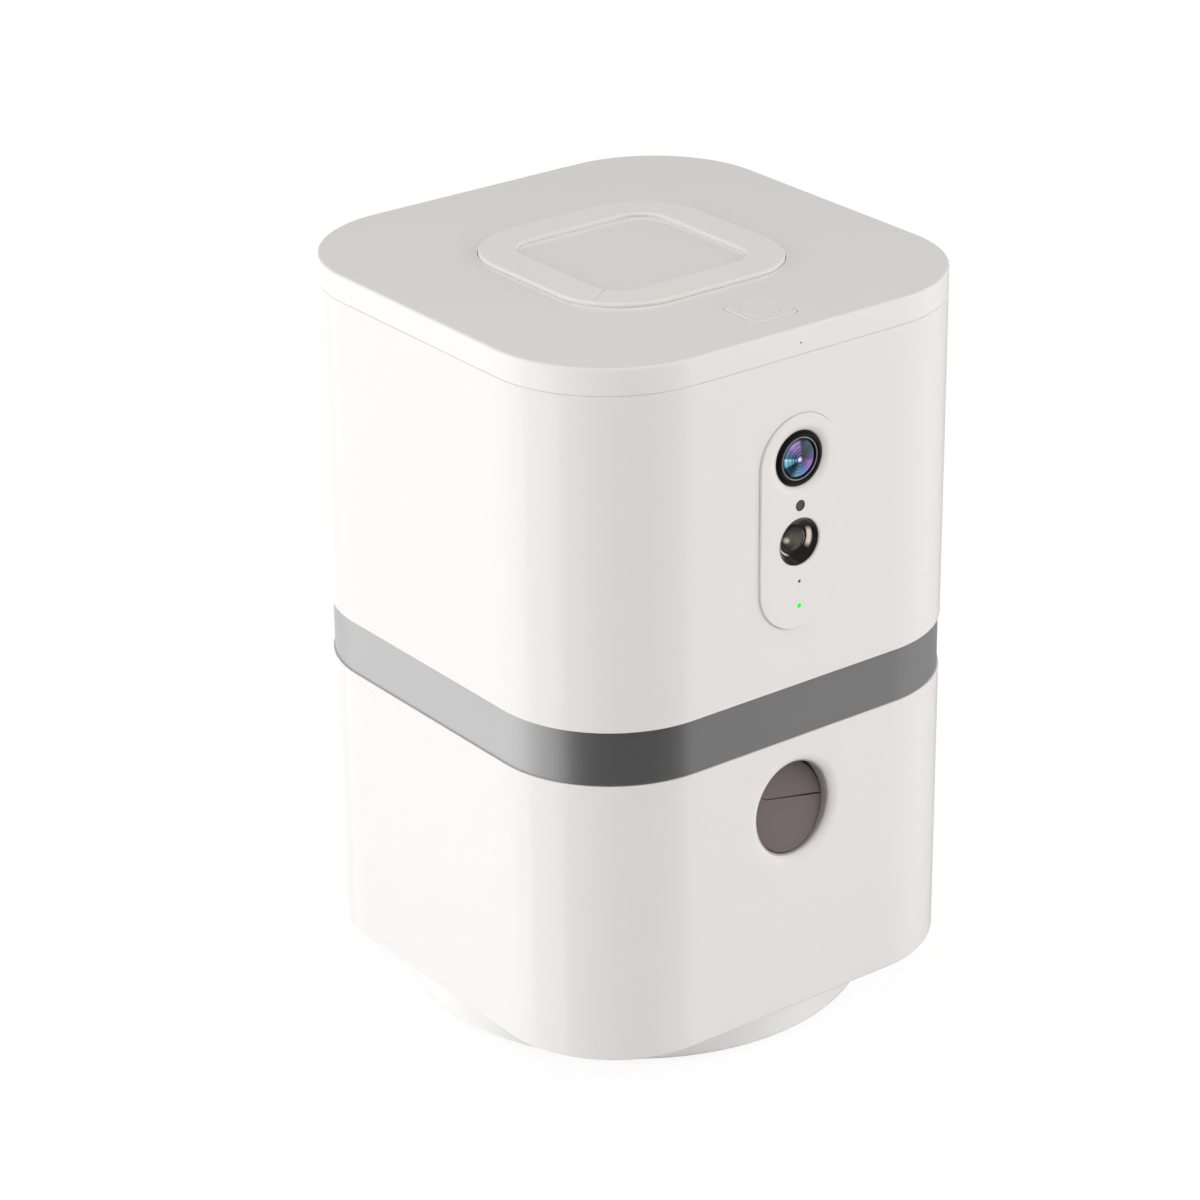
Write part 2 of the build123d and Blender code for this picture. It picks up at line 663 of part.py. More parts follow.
with BuildPart() as outlet_flap:
    with BuildSketch(leaning_plane(flap_tilt)):
        with Locations((0, (outlet_z - split_z) / cos(flap_tilt))):
            Ellipse(flap_half_width, flap_half_height / cos(flap_tilt))
        with Locations((0, (flap_pivot[1] - split_z) / cos(flap_tilt) - 2.5)):
            Rectangle(9.0, 5.0)
    extrude(amount=-flap_thickness)
    with BuildSketch(front_plane(front, 0)):
        Polygon(*flap_edge, (15.0, 110.0), (-13.5, 110.0), align=None)
    extrude(amount=-20.0, mode=Mode.INTERSECT)
    with BuildSketch(side_plane(-4.5)):
        with Locations(flap_pivot):
            Circle(1.5)
    extrude(amount=9.0)
    with BuildSketch(side_plane(-6.0)):
        with Locations(flap_pivot):
            Circle(pin_radius + running)
    extrude(amount=12.0, mode=Mode.SUBTRACT)
keep(outlet_flap, "outlet_flap")

with BuildPart() as launch_arm:
    with BuildSketch(leaning_plane(paddle_tilt)):
        with Locations((0, (outlet_z - split_z) / cos(paddle_tilt))):
            Ellipse(throat_half_width - paddle_gap, (throat_half_height - paddle_gap) / cos(paddle_tilt))
    extrude(amount=-paddle_thickness)
    with BuildSketch(front_plane(front, 0)):
        Polygon(*split_edge, (15.0, 60.0), (-13.5, 60.0), align=None)
    extrude(amount=-20.0, mode=Mode.INTERSECT)
    with BuildSketch(side_plane(-3.0)):
        with BuildLine():
            Polyline((arm_pivot[0] - 3.6, arm_pivot[1] + 1.5), (paddle_back(64.0) - 0.6, 64.0),
                     (paddle_back(78.5) - 0.6, 78.5), (paddle_back(77.0) + 1.6, 77.0),
                     (paddle_back(66.0) + 3.4, 66.0), (arm_pivot[0] + 3.6, arm_pivot[1] + 1.5), close=True)
        make_face()
        with Locations(arm_pivot):
            Circle(4.5)
    extrude(amount=6.0)
    with BuildSketch(side_plane(-3.0)):
        with Locations(arm_pivot):
            Circle(arm_bore + running)
    extrude(amount=6.0, mode=Mode.SUBTRACT)
keep(launch_arm, "launch_arm")

with BuildPart() as arm_sector:
    with BuildSketch(Plane(origin=(3.0, *arm_pivot), x_dir=(0, 1, 0), z_dir=(1, 0, 0))):
        with BuildLine():
            Polyline(*gear_outline(sector_teeth, first=-1, count=7), close=True)
        make_face()
        with BuildLine():
            Polyline((-1.5, -3.5), (17.6, -5.2), (30.0, -8.86), (30.0, 28.0), (11.0, 15.1), (-1.5, 4.0), close=True)
        make_face(mode=Mode.INTERSECT)
        Circle(4.5)
        Circle(arm_bore + running, mode=Mode.SUBTRACT)
    extrude(amount=4.0)
keep(arm_sector, "arm_sector")

with BuildPart() as crank_gear:
    with BuildSketch(Plane(origin=(3.2, *crank_pivot), x_dir=(0, 1, 0), z_dir=(1, 0, 0))):
        with BuildLine():
            Polyline(*gear_outline(crank_teeth, first=4, count=7, phase=pi / crank_teeth), close=True)
        make_face()
    extrude(amount=3.6)
    with BuildSketch(side_plane(2.0)):
        with Locations(crank_pivot):
            Circle(2.0)
    extrude(amount=18.0)
keep(crank_gear, "crank_gear")

with BuildPart() as arm_shaft:
    with BuildSketch(side_plane(-13.0)):
        with Locations(arm_pivot):
            Circle(arm_bore)
    extrude(amount=26.0)
keep(arm_shaft, "arm_shaft")

plate_inner = 10.5
plate_outer = 12.5
with BuildPart() as launch_frame:
    for side in (-plate_outer, plate_inner):
        with BuildSketch(side_plane(side)):
            with BuildLine():
                Polyline((-72.6, 15.5), (-72.6, 72.0), (-60.0, 72.0), (-50.0, 50.0), (-30.0, 50.0), (-30.0, 15.5),
                         close=True)
            make_face()
        extrude(amount=plate_outer - plate_inner)
    with BuildSketch(Plane.XY.offset(15.5)):
        with Locations((0, -51.3)):
            Rectangle(2 * plate_outer, 42.6)
    extrude(amount=2.0)
    with BuildSketch(front_plane(-20.0, outlet_z)):
        Circle(liner_radius + liner_wall)
    extrude(amount=60.0, mode=Mode.SUBTRACT)
    with BuildSketch(side_plane(-14.0)):
        with Locations(arm_pivot):
            Circle(arm_bore)
    extrude(amount=28.0, mode=Mode.SUBTRACT)
    with BuildSketch(side_plane(8.0)):
        with Locations(crank_pivot):
            Circle(2.0 + running)
    extrude(amount=6.0, mode=Mode.SUBTRACT)
keep(launch_frame, "launch_frame")

with BuildPart() as launch_motor:
    with BuildSketch(side_plane(plate_outer)):
        with Locations(crank_pivot):
            Circle(9.0)
    extrude(amount=24.0)
    with BuildSketch(side_plane(plate_outer)):
        with Locations(crank_pivot):
            Circle(2.0 + running)
    extrude(amount=9.0, mode=Mode.SUBTRACT)
keep(launch_motor, "launch_motor")

spring_start = -8.0
with BuildPart() as launch_spring:
    with BuildLine() as spring_path:
        Helix(pitch=1.5, height=4.5, radius=3.4, center=(spring_start, *arm_pivot), direction=(1, 0, 0))
    with BuildSketch(Plane(origin=spring_path.line @ 0, z_dir=spring_path.line % 0)):
        RegularPolygon(radius=0.5, side_count=6)
    sweep(is_frenet=True)
keep(launch_spring, "launch_spring")

# ---- pan drive ----
pinion_offset = gear_module * (sun_teeth + pinion_teeth) / 2 / sqrt(2)
with BuildPart() as pan_pinion:
    with BuildSketch(Plane(origin=(pinion_offset, pinion_offset, sun_bottom + 0.2))):
        with BuildLine():
            Polyline(*gear_outline(pinion_teeth), close=True)
        make_face()
    extrude(amount=sun_top - sun_bottom - 0.4)
    with BuildSketch(Plane.XY.offset(sun_top - 0.2)):
        with Locations((pinion_offset, pinion_offset)):
            Circle(2.0)
    extrude(amount=14.0)
keep(pan_pinion, "pan_pinion")

with BuildPart() as pan_bracket:
    with BuildSketch(Plane.XY.offset(23.0)):
        with Locations((pinion_offset + 6.0, pinion_offset + 6.0)):
            Rectangle(24.0, 24.0, rotation=45)
        with Locations((pinion_offset, pinion_offset)):
            Circle(12.5)
            Circle(2.0 + running, mode=Mode.SUBTRACT)
    extrude(amount=2.0)
    with BuildSketch(Plane.XY.offset(lower_bottom + wall)):
        with Locations((pinion_offset + 18.0, pinion_offset - 2.0), (pinion_offset - 2.0, pinion_offset + 18.0)):
            Circle(3.5)
    extrude(amount=23.0 - lower_bottom - wall)
    with BuildSketch(Plane.XY.offset(23.0)):
        with Locations((pinion_offset + 18.0, pinion_offset - 2.0), (pinion_offset - 2.0, pinion_offset + 18.0)):
            Circle(3.5)
    extrude(amount=2.0)
keep(pan_bracket, "pan_bracket")

with BuildPart() as pan_motor:
    with BuildSketch(Plane.XY.offset(25.0)):
        with Locations((pinion_offset, pinion_offset)):
            Circle(12.0)
    extrude(amount=20.0)
    with BuildSketch(Plane.XY.offset(25.0)):
        with Locations((pinion_offset, pinion_offset)):
            Circle(2.0 + running)
    extrude(amount=10.0, mode=Mode.SUBTRACT)
keep(pan_motor, "pan_motor")

# ---- electronics and back ----
board_front = back_inner - board_gap
with BuildPart() as main_board:
    with BuildSketch(back_plane(board_front, board_z)):
        Rectangle(72.0, 54.0)
    extrude(amount=-1.6)
keep(main_board, "main_board")

with BuildPart() as board_chips:
    with BuildSketch(back_plane(board_front - 1.6, board_z)):
        with Locations((-18.0, 10.0)):
            Rectangle(14.0, 14.0)
        with Locations((8.0, 12.0)):
            Rectangle(9.0, 12.0)
        with Locations((20.0, -14.0)):
            Rectangle(8.0, 8.0)
    extrude(amount=-1.8)
    with BuildSketch(back_plane(board_front - 1.6, board_z)):
        with Locations((-4.0, -16.0), (-14.0, -16.0)):
            Circle(3.5)
    extrude(amount=-9.0)
keep(board_chips, "board_chips")

with BuildPart() as power_inlet:
    with BuildSketch(back_plane(back_inner - 12.0, inlet_z)):
        Rectangle(10.0, 11.0)
    extrude(amount=12.0)
    with BuildSketch(back_plane(back_inner, inlet_z)):
        Circle(4.0)
    extrude(amount=wall - 0.3)
    with BuildSketch(back_plane(back, inlet_z)):
        Circle(2.85)
    extrude(amount=-10.0, mode=Mode.SUBTRACT)
    with BuildSketch(back_plane(back - 1.5, inlet_z)):
        Circle(1.05)
    extrude(amount=-9.0)
keep(power_inlet, "power_inlet")

with BuildPart() as speaker_grille:
    with BuildSketch(back_plane(back_inner, speaker_z)):
        Circle(grille_radius)
        for place in range(-3, 4):
            with Locations((4.0 * place, 0)):
                SlotOverall(2 * sqrt(13.5 ** 2 - (4.0 * place) ** 2), 2.0, rotation=90, mode=Mode.SUBTRACT)
    extrude(amount=wall)
keep(speaker_grille, "speaker_grille")

with BuildPart() as speaker:
    with BuildSketch(back_plane(back_inner, speaker_z)):
        Circle(18.0)
        Circle(13.0, mode=Mode.SUBTRACT)
    extrude(amount=-3.0)
    with BuildSketch(back_plane(back_inner - 3.0, speaker_z)):
        Circle(18.0)
    with BuildSketch(back_plane(back_inner - 8.0, speaker_z)):
        Circle(11.0)
    loft(ruled=True)
    with BuildSketch(back_plane(back_inner - 8.0, speaker_z)):
        Circle(11.0)
    extrude(amount=-5.0)
keep(speaker, "speaker")
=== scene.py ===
import json
import math

import bmesh
import bpy
from mathutils import Matrix, Vector


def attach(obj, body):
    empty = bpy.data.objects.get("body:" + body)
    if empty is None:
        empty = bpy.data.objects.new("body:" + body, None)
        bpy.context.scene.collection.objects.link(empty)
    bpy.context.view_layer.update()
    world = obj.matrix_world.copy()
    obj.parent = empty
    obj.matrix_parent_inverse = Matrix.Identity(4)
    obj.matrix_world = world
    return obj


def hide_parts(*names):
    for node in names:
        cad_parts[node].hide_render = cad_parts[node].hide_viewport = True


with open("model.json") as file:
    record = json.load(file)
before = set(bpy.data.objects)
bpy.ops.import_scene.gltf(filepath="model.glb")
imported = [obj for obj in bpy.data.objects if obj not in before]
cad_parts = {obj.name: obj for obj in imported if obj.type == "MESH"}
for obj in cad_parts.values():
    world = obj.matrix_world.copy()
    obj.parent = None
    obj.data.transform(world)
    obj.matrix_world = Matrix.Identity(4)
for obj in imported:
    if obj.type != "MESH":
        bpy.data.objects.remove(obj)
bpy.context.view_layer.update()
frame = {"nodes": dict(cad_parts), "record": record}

print("frame loaded:", len(frame["nodes"]), "nodes")

mm = 0.001
scene = bpy.context.scene

housing = {
    "halfX": 75.0 * mm,
    "halfY": 75.6 * mm,
    "corner": 37.9 * mm,
    "wall": 2.5 * mm,
    "tongue": 4.3 * mm,      # from the outside to the inner side of a joining tongue
    "steps": 40,             # segments round each upright corner
}
front = -housing["halfY"]


# mesh helpers

def scaled(profile, start=0.0):
    # millimetres to metres; the second number of each point is counted from start
    return [(a * mm, start + b * mm) for a, b in profile]


def quarterRound(steps):
    # a quarter turn as (1 - sine, 1 - cosine)
    turns = [math.pi / 2 * i / steps for i in range(steps + 1)]
    return [(1 - math.sin(t), 1 - math.cos(t)) for t in turns]


def bevelled(bm, edges, radius, steps, clamp=False):
    bmesh.ops.bevel(bm, geom=edges, offset=radius, offset_type="OFFSET", segments=steps,
                    profile=0.5, affect="EDGES", clamp_overlap=clamp, material=-1)


def edgesAt(bm, axis, level):
    # the edges that lie at this level on one axis
    return [e for e in bm.edges if all(abs(v.co[axis] - level) < 1e-6 for v in e.verts)]


def roundRim(bm, height, radius, steps):
    bevelled(bm, edgesAt(bm, 2, height), radius, steps)


def block(halfX, halfY, radius, low, high, steps=24, centre=(0.0, 0.0)):
    # a prism with rounded upright corners
    bm = bmesh.new()
    bmesh.ops.create_cube(bm, size=1.0)
    bmesh.ops.scale(bm, vec=(2 * halfX, 2 * halfY, high - low), verts=bm.verts)
    bmesh.ops.translate(bm, vec=(*centre, (low + high) / 2), verts=bm.verts)
    if radius > 0:
        corners = [e for e in bm.edges if abs(e.verts[0].co.z - e.verts[1].co.z) > 1e-6]
        bevelled(bm, corners, radius, steps)
    return bm


def outlinePoint(level, index, steps, centre):
    half, corner, z = level
    quarter, step = divmod(index, steps + 1)
    sideX, sideY = ((1, 1), (-1, 1), (-1, -1), (1, -1))[quarter]
    turn = math.pi / 2 * (quarter + step / steps)
    return (centre[0] + sideX * (half - corner) + corner * math.cos(turn),
            centre[1] + sideY * (half - corner) + corner * math.sin(turn), z)


def stack(levels, steps, ring=False, centre=(0.0, 0.0)):
    # a rounded square (half width, corner, z) drawn from level to level, closed into a solid or a ring
    bm = bmesh.new()
    verts = [bm.verts.new(outlinePoint(levels[0], i, steps, centre)) for i in range(4 * (steps + 1))]
    edges = [bm.edges.new(pair) for pair in zip(verts, verts[1:] + verts[:1])]
    if not ring:
        bm.faces.new(verts)
    for level in levels[1:] + (levels[:1] if ring else []):
        drawn = bmesh.ops.extrude_edge_only(bm, edges=edges)["geom"]
        edges = [g for g in drawn if isinstance(g, bmesh.types.BMEdge)]
        new = {g for g in drawn if isinstance(g, bmesh.types.BMVert)}
        verts = [next(e.other_vert(v) for e in v.link_edges if e.other_vert(v) in new) for v in verts]
        for i, vert in enumerate(verts):
            vert.co = outlinePoint(level, i, steps, centre)
    if ring:
        bmesh.ops.remove_doubles(bm, verts=bm.verts, dist=1e-7)
    else:
        bm.faces.new(verts)
    bmesh.ops.recalc_face_normals(bm, faces=bm.faces)
    return bm


def spun(points, centre, axis, steps):
    # spins a closed profile about an axis; a line that lies on the axis is left out
    bm = bmesh.new()
    verts = [bm.verts.new(point) for point in points]
    for a, b in zip(verts, verts[1:] + verts[:1]):
        if max(a.co.x, b.co.x) - centre[0] > 1e-9:
            bm.edges.new((a, b))
    bmesh.ops.spin(bm, geom=list(bm.verts) + list(bm.edges), cent=centre, axis=axis,
                   angle=2 * math.pi, steps=steps, use_merge=True)
    bmesh.ops.remove_doubles(bm, verts=bm.verts, dist=1e-7)
    bmesh.ops.recalc_face_normals(bm, faces=bm.faces)
    return bm


def turned(profile, z, steps=96):
    # a profile of (radius, y) points, spun about the front-to-back axis at height z
    return spun([(r, y, z) for r, y in profile], (0, 0, z), (0, 1, 0), steps)


def upright(profile, steps, centre=(0.0, 0.0)):
    # a profile of (radius, z) points, spun about an upright axis
    return spun([(centre[0] + r, centre[1], z) for r, z in profile], (*centre, 0), (0, 0, 1), steps)


def cylinder(radius, low, high):
    # the profile of a plain cylinder
    return [(0.0, low), (radius, low), (radius, high), (0.0, high)]


def frontPill(halfWidth, halfHeight, z, near, far):
    # an upright pill in the front face, from y=near to y=far
    bm = block(halfWidth, halfHeight, halfWidth - 1e-5, -far, -near, 32)
    bmesh.ops.rotate(bm, cent=(0, 0, 0), matrix=Matrix.Rotation(math.radians(90), 3, "X"), verts=bm.verts)
    bmesh.ops.translate(bm, vec=(0, 0, z), verts=bm.verts)
    bmesh.ops.remove_doubles(bm, verts=bm.verts, dist=3e-5)
    return bm


def drawnOut(points, away):
    # a flat outline drawn out along one vector
    bm = bmesh.new()
    face = bm.faces.new([bm.verts.new(point) for point in points])
    grown = bmesh.ops.extrude_face_region(bm, geom=[face])["geom"]
    bmesh.ops.translate(bm, vec=away, verts=[g for g in grown if isinstance(g, bmesh.types.BMVert)])
    return bm


def toObject(bm, name):
    mesh = bpy.data.meshes.new(name)
    bm.to_mesh(mesh)
    bm.free()
    piece = bpy.data.objects.new(name, mesh)
    scene.collection.objects.link(piece)
    return piece


def carve(bm, cutters, operation="DIFFERENCE"):
    # cuts each cutter out of the mesh, and gives the result back as a bmesh
    piece = toObject(bm, "carving")
    tools = [toObject(c, "cutter") for c in cutters]
    for tool in tools:
        cut = piece.modifiers.new("cut", "BOOLEAN")
        cut.operation = operation
        cut.solver = "EXACT"
        cut.object = tool
    graph = bpy.context.evaluated_depsgraph_get()
    result = bmesh.new()
    result.from_object(piece, graph)
    for used in [piece] + tools:
        mesh = used.data
        bpy.data.objects.remove(used)
        bpy.data.meshes.remove(mesh)
    bmesh.ops.triangulate(result, faces=[f for f in result.faces if len(f.verts) > 4])
    bmesh.ops.remove_doubles(result, verts=result.verts, dist=1e-6)
    return result


def joined(bm, others):
    # adds the other meshes to the first one
    for other in others:
        mesh = bpy.data.meshes.new("joining")
        other.to_mesh(mesh)
        other.free()
        bm.from_mesh(mesh)
        bpy.data.meshes.remove(mesh)
    return bm


def squash(bm, z, halfWidth, halfHeight):
    # turns a piece that was spun with radius halfHeight into an upright oval
    for v in bm.verts:
        reach = math.hypot(v.co.x, v.co.z - z)
        if reach > 1e-7:
            v.co.x *= (halfWidth + reach - halfHeight) / reach
    return bm


def finish(bm, name, body, material, replaced=(), sharp=32.0):
    # turns the bmesh into a finished piece that rides on its body
    bmesh.ops.recalc_face_normals(bm, faces=bm.faces)
    piece = toObject(bm, name)
    mesh = piece.data
    mesh.shade_smooth()
    mesh.set_sharp_from_angle(angle=math.radians(sharp))
    mesh.materials.append(material)
    weighted = piece.modifiers.new("weighted", "WEIGHTED_NORMAL")
    weighted.mode = "FACE_AREA"
    weighted.keep_sharp = True
    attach(piece, body)
    if replaced:
        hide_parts(*replaced)


# materials

def newGroup(name, inputs, outputs):
    group = bpy.data.node_groups.new(name, "ShaderNodeTree")
    for label, kind, value in inputs:
        socket = group.interface.new_socket(name=label, in_out="INPUT", socket_type=kind)
        socket.default_value = value
    for label, kind in outputs:
        group.interface.new_socket(name=label, in_out="OUTPUT", socket_type=kind)
    return group, group.nodes.new("NodeGroupInput"), group.nodes.new("NodeGroupOutput")


def feed(tree, node, values):
    # sets a number or colour on its socket, and links anything else to it
    for label, value in values.items():
        if isinstance(value, (int, float, tuple)):
            node.inputs[label].default_value = value
        else:
            tree.links.new(value, node.inputs[label])
    return node


def calc(tree, operation, *values):
    node = tree.nodes.new("ShaderNodeMath")
    node.operation = operation
    return feed(tree, node, dict(enumerate(values))).outputs[0]


def remap(tree, value, low, high, toLow, toHigh, smooth=False):
    node = tree.nodes.new("ShaderNodeMapRange")
    if smooth:
        node.interpolation_type = "SMOOTHSTEP"
    return feed(tree, node, dict(enumerate((value, low, high, toLow, toHigh)))).outputs[0]


def mixColour(tree, factor, a, b, blend="MIX"):
    node = tree.nodes.new("ShaderNodeMix")
    node.data_type = "RGBA"
    node.blend_type = blend
    return feed(tree, node, {0: factor, 6: a, 7: b}).outputs[2]


def objectCoords(tree):
    return tree.nodes.new("ShaderNodeTexCoord").outputs["Object"]


def stretched(tree, scale):
    return feed(tree, tree.nodes.new("ShaderNodeMapping"),
                {"Vector": objectCoords(tree), "Scale": scale}).outputs[0]


def noise(tree, vector, scale, detail=3.0, roughness=0.5):
    return feed(tree, tree.nodes.new("ShaderNodeTexNoise"),
                {"Vector": vector, "Scale": scale, "Detail": detail, "Roughness": roughness}).outputs["Fac"]


def relief(tree, shader, height, strength, distance=0.0001):
    bump = feed(tree, tree.nodes.new("ShaderNodeBump"),
                {"Strength": strength, "Distance": distance, "Height": height})
    tree.links.new(bump.outputs[0], shader.inputs["Normal"])


def makeMouldedSkin():
    # moulded plastic: slow colour drift, faint wiped smears in the gloss, and fine surface texture
    group, inside, out = newGroup("mouldedSkin", [
        ("Tone", "NodeSocketColor", (0.8, 0.8, 0.8, 1)),
        ("Drift", "NodeSocketFloat", 0.02),
        ("Roughness", "NodeSocketFloat", 0.2),
        ("Smear", "NodeSocketFloat", 0.05),
        ("Texture Scale", "NodeSocketFloat", 900.0),
        ("Texture Depth", "NodeSocketFloat", 0.2),
    ], [("Color", "NodeSocketColor"), ("Roughness", "NodeSocketFloat"), ("Height", "NodeSocketFloat")])
    given = inside.outputs
    coords = objectCoords(group)
    slow = calc(group, "SUBTRACT", noise(group, coords, 14.0, 2.0), 0.5)
    lighter = calc(group, "ADD", calc(group, "MULTIPLY", slow, given["Drift"]), 1.0)
    tint = feed(group, group.nodes.new("ShaderNodeHueSaturation"), {"Color": given["Tone"], "Value": lighter})
    wiped = noise(group, stretched(group, (1.0, 1.0, 0.25)), 60.0, 4.0, 0.6)
    smear = calc(group, "MULTIPLY", remap(group, wiped, 0.45, 0.75, 0.0, 1.0), given["Smear"])
    fine = noise(group, coords, given["Texture Scale"], 2.0)
    feed(group, out, {"Color": tint.outputs[0], "Roughness": calc(group, "ADD", given["Roughness"], smear),
                      "Height": calc(group, "MULTIPLY", fine, given["Texture Depth"])})
    return group


# painted reflection line down each upright corner: a thin darker stripe in the colour, with a shallow groove in the
# relief
cornerReflectionLine = {
    "middle": 0.6 * mm,      # how much farther than x it lies along y
    "beyond": 55.0 * mm,     # it runs only where x is larger
    "width": 0.12 * mm,
    "dark": 0.86,
    "strength": 0.55,
    "depth": 1.5,
}


def makePaintedCornerLine():
    # a painted reflection line down the middle of each upright corner: a thin darker stripe, with a shallow groove
    # in the relief
    group, inside, out = newGroup("paintedCornerLine", [("Width", "NodeSocketFloat", cornerReflectionLine["width"])],
                                  [("Mask", "NodeSocketFloat")])
    split = feed(group, group.nodes.new("ShaderNodeSeparateXYZ"), {0: objectCoords(group)})
    x = calc(group, "ABSOLUTE", split.outputs["X"])
    y = calc(group, "ABSOLUTE", split.outputs["Y"])
    aside = calc(group, "SUBTRACT", calc(group, "SUBTRACT", y, x), cornerReflectionLine["middle"])
    line = remap(group, calc(group, "ABSOLUTE", aside), 0.0, inside.outputs["Width"], 1.0, 0.0)
    corner = calc(group, "GREATER_THAN", x, cornerReflectionLine["beyond"])
    feed(group, out, {"Mask": calc(group, "MULTIPLY", line, corner)})
    return group


mouldedSkin = makeMouldedSkin()
paintedCornerLine = makePaintedCornerLine()


def placeGroup(tree, group, values):
    node = tree.nodes.new("ShaderNodeGroup")
    node.node_tree = group
    return feed(tree, node, values).outputs


def newMaterial(name):
    material = bpy.data.materials.new(name)
    material.use_nodes = True
    tree = material.node_tree
    return material, tree, tree.nodes["Principled BSDF"]


def plastic(name, tone, rough=0.25, drift=0.03, smear=0.05, grain=900.0, depth=0.2, bump=0.1,
            coat=0.0, specular=0.5, metallic=0.0, seamAndPaintedLine=False):
    material, tree, shader = newMaterial(name)
    skin = placeGroup(tree, mouldedSkin, {"Tone": (*tone, 1), "Drift": drift, "Roughness": rough,
                                          "Smear": smear, "Texture Scale": grain, "Texture Depth": depth})
    colour, height = skin["Color"], skin["Height"]
    # painted reflection line on the corners: darker colour along it, and a shallow groove in the relief
    if seamAndPaintedLine:
        line = placeGroup(tree, paintedCornerLine, {})["Mask"]
        dark = tuple(cornerReflectionLine["dark"] * c for c in tone)
        colour = mixColour(tree, calc(tree, "MULTIPLY", line, cornerReflectionLine["strength"]), colour, (*dark, 1))
        height = calc(tree, "SUBTRACT", height, calc(tree, "MULTIPLY", line, cornerReflectionLine["depth"]))
    relief(tree, shader, height, bump)
    feed(tree, shader, {"Base Color": colour, "Roughness": skin["Roughness"],
                        "Specular IOR Level": specular, "Metallic": metallic})
    if coat > 0:
        feed(tree, shader, {"Coat Weight": coat, "Coat Roughness": 0.06})
    return material


def metal(name, tone, rough=0.3):
    # drawn or brushed metal: fine lines in the roughness and the normal
    material, tree, shader = newMaterial(name)
    lines = noise(tree, stretched(tree, (4.0, 4.0, 400.0)), 10.0, 4.0)
    dark = tuple(0.8 * c for c in tone)
    relief(tree, shader, lines, 0.15, 0.00005)
    feed(tree, shader, {"Base Color": mixColour(tree, lines, (*dark, 1), (*tone, 1)), "Metallic": 1.0,
                        "Roughness": remap(tree, lines, 0.3, 0.7, rough * 0.7, rough * 1.4)})
    return material


housingWhite = plastic("housingWhite", (0.832, 0.80, 0.78), rough=0.12, drift=0.01, smear=0.03,
                       grain=700.0, depth=0.15, bump=0.04, seamAndPaintedLine=True)
coverWhite = plastic("coverWhite", (0.838, 0.822, 0.802), rough=0.16, drift=0.012, smear=0.04,
                     grain=900.0, depth=0.3, bump=0.06)
ringSoft = plastic("ringSoft", (0.84, 0.825, 0.79), rough=0.42, drift=0.03, smear=0.06,
                   grain=2600.0, depth=0.6, bump=0.12)
bandGrey = plastic("bandGrey", (0.376, 0.376, 0.378), rough=0.36, drift=0.03, smear=0.04,
                   grain=1500.0, depth=0.3, bump=0.06, metallic=0.8)
baseWhite = plastic("baseWhite", (0.90, 0.895, 0.89), rough=0.2, drift=0.02, smear=0.05, bump=0.05)
panelWhite = plastic("panelWhite", (0.838, 0.806, 0.786), rough=0.2, drift=0.01, smear=0.03,
                     grain=1200.0, depth=0.2, bump=0.05)
paddleGrey = plastic("paddleGrey", (0.175, 0.14, 0.135), rough=0.3, drift=0.08, smear=0.1,
                     grain=700.0, depth=0.3, bump=0.08)
innerGrey = plastic("innerGrey", (0.09, 0.085, 0.08), rough=0.5, drift=0.1, grain=1800.0, depth=0.8, bump=0.25)
tubeGrey = plastic("tubeGrey", (0.16, 0.135, 0.125), rough=0.2, drift=0.08, smear=0.12,
                   grain=600.0, depth=0.3, bump=0.08, coat=0.3)
collarGrey = plastic("collarGrey", (0.42, 0.395, 0.38), rough=0.35, drift=0.06, smear=0.1, bump=0.06)
blackGloss = plastic("blackGloss", (0.006, 0.006, 0.007), rough=0.16, drift=0.1, smear=0.06, bump=0.04)
bezelBlack = plastic("bezelBlack", (0.005, 0.005, 0.0055), rough=0.3, drift=0.1, smear=0.06, bump=0.04,
                     specular=0.3)
sensorGrey = plastic("sensorGrey", (0.075, 0.075, 0.09), rough=0.2, drift=0.1, smear=0.06, bump=0.03)
chipBlack = plastic("chipBlack", (0.02, 0.02, 0.02), rough=0.55, drift=0.1, grain=2500.0, depth=0.8, bump=0.2)
rubberDark = plastic("rubberDark", (0.035, 0.035, 0.035), rough=0.7, drift=0.1, grain=2000.0, depth=1.0, bump=0.3)
sealSilicone = plastic("sealSilicone", (0.7, 0.7, 0.68), rough=0.5, drift=0.04, bump=0.1)
nylon = plastic("gearNylon", (0.72, 0.70, 0.63), rough=0.4, drift=0.05, bump=0.1)
hopperPlastic = plastic("hopperPlastic", (0.62, 0.63, 0.64), rough=0.35, drift=0.05, bump=0.1)
boardGreen = plastic("boardGreen", (0.01, 0.09, 0.035), rough=0.35, drift=0.3, grain=3000.0, depth=0.6, bump=0.15)
steel = metal("zincSteel", (0.55, 0.56, 0.57))
motorMetal = metal("motorMetal", (0.5, 0.5, 0.52))
springSteel = metal("springSteel", (0.35, 0.35, 0.36))
brightTrim = plastic("brightTrim", (0.50, 0.50, 0.51), rough=0.2, drift=0.1, smear=0.06, bump=0.04, metallic=0.25)
print("plastics and metals done")

slotMaterials = {
    "housing_gloss": housingWhite, "ring_soft": ringSoft, "band_grey": bandGrey, "base_white": baseWhite,
    "inner_grey": innerGrey, "tube_grey": tubeGrey, "black_gloss": blackGloss, "bright_trim": brightTrim,
    "rubber_dark": rubberDark, "seal_silicone": sealSilicone, "steel": steel, "motor_metal": motorMetal,
    "gear_nylon": nylon, "board_green": boardGreen, "chip_black": chipBlack, "hopper_clear": hopperPlastic,
    "spring_steel": springSteel,
}


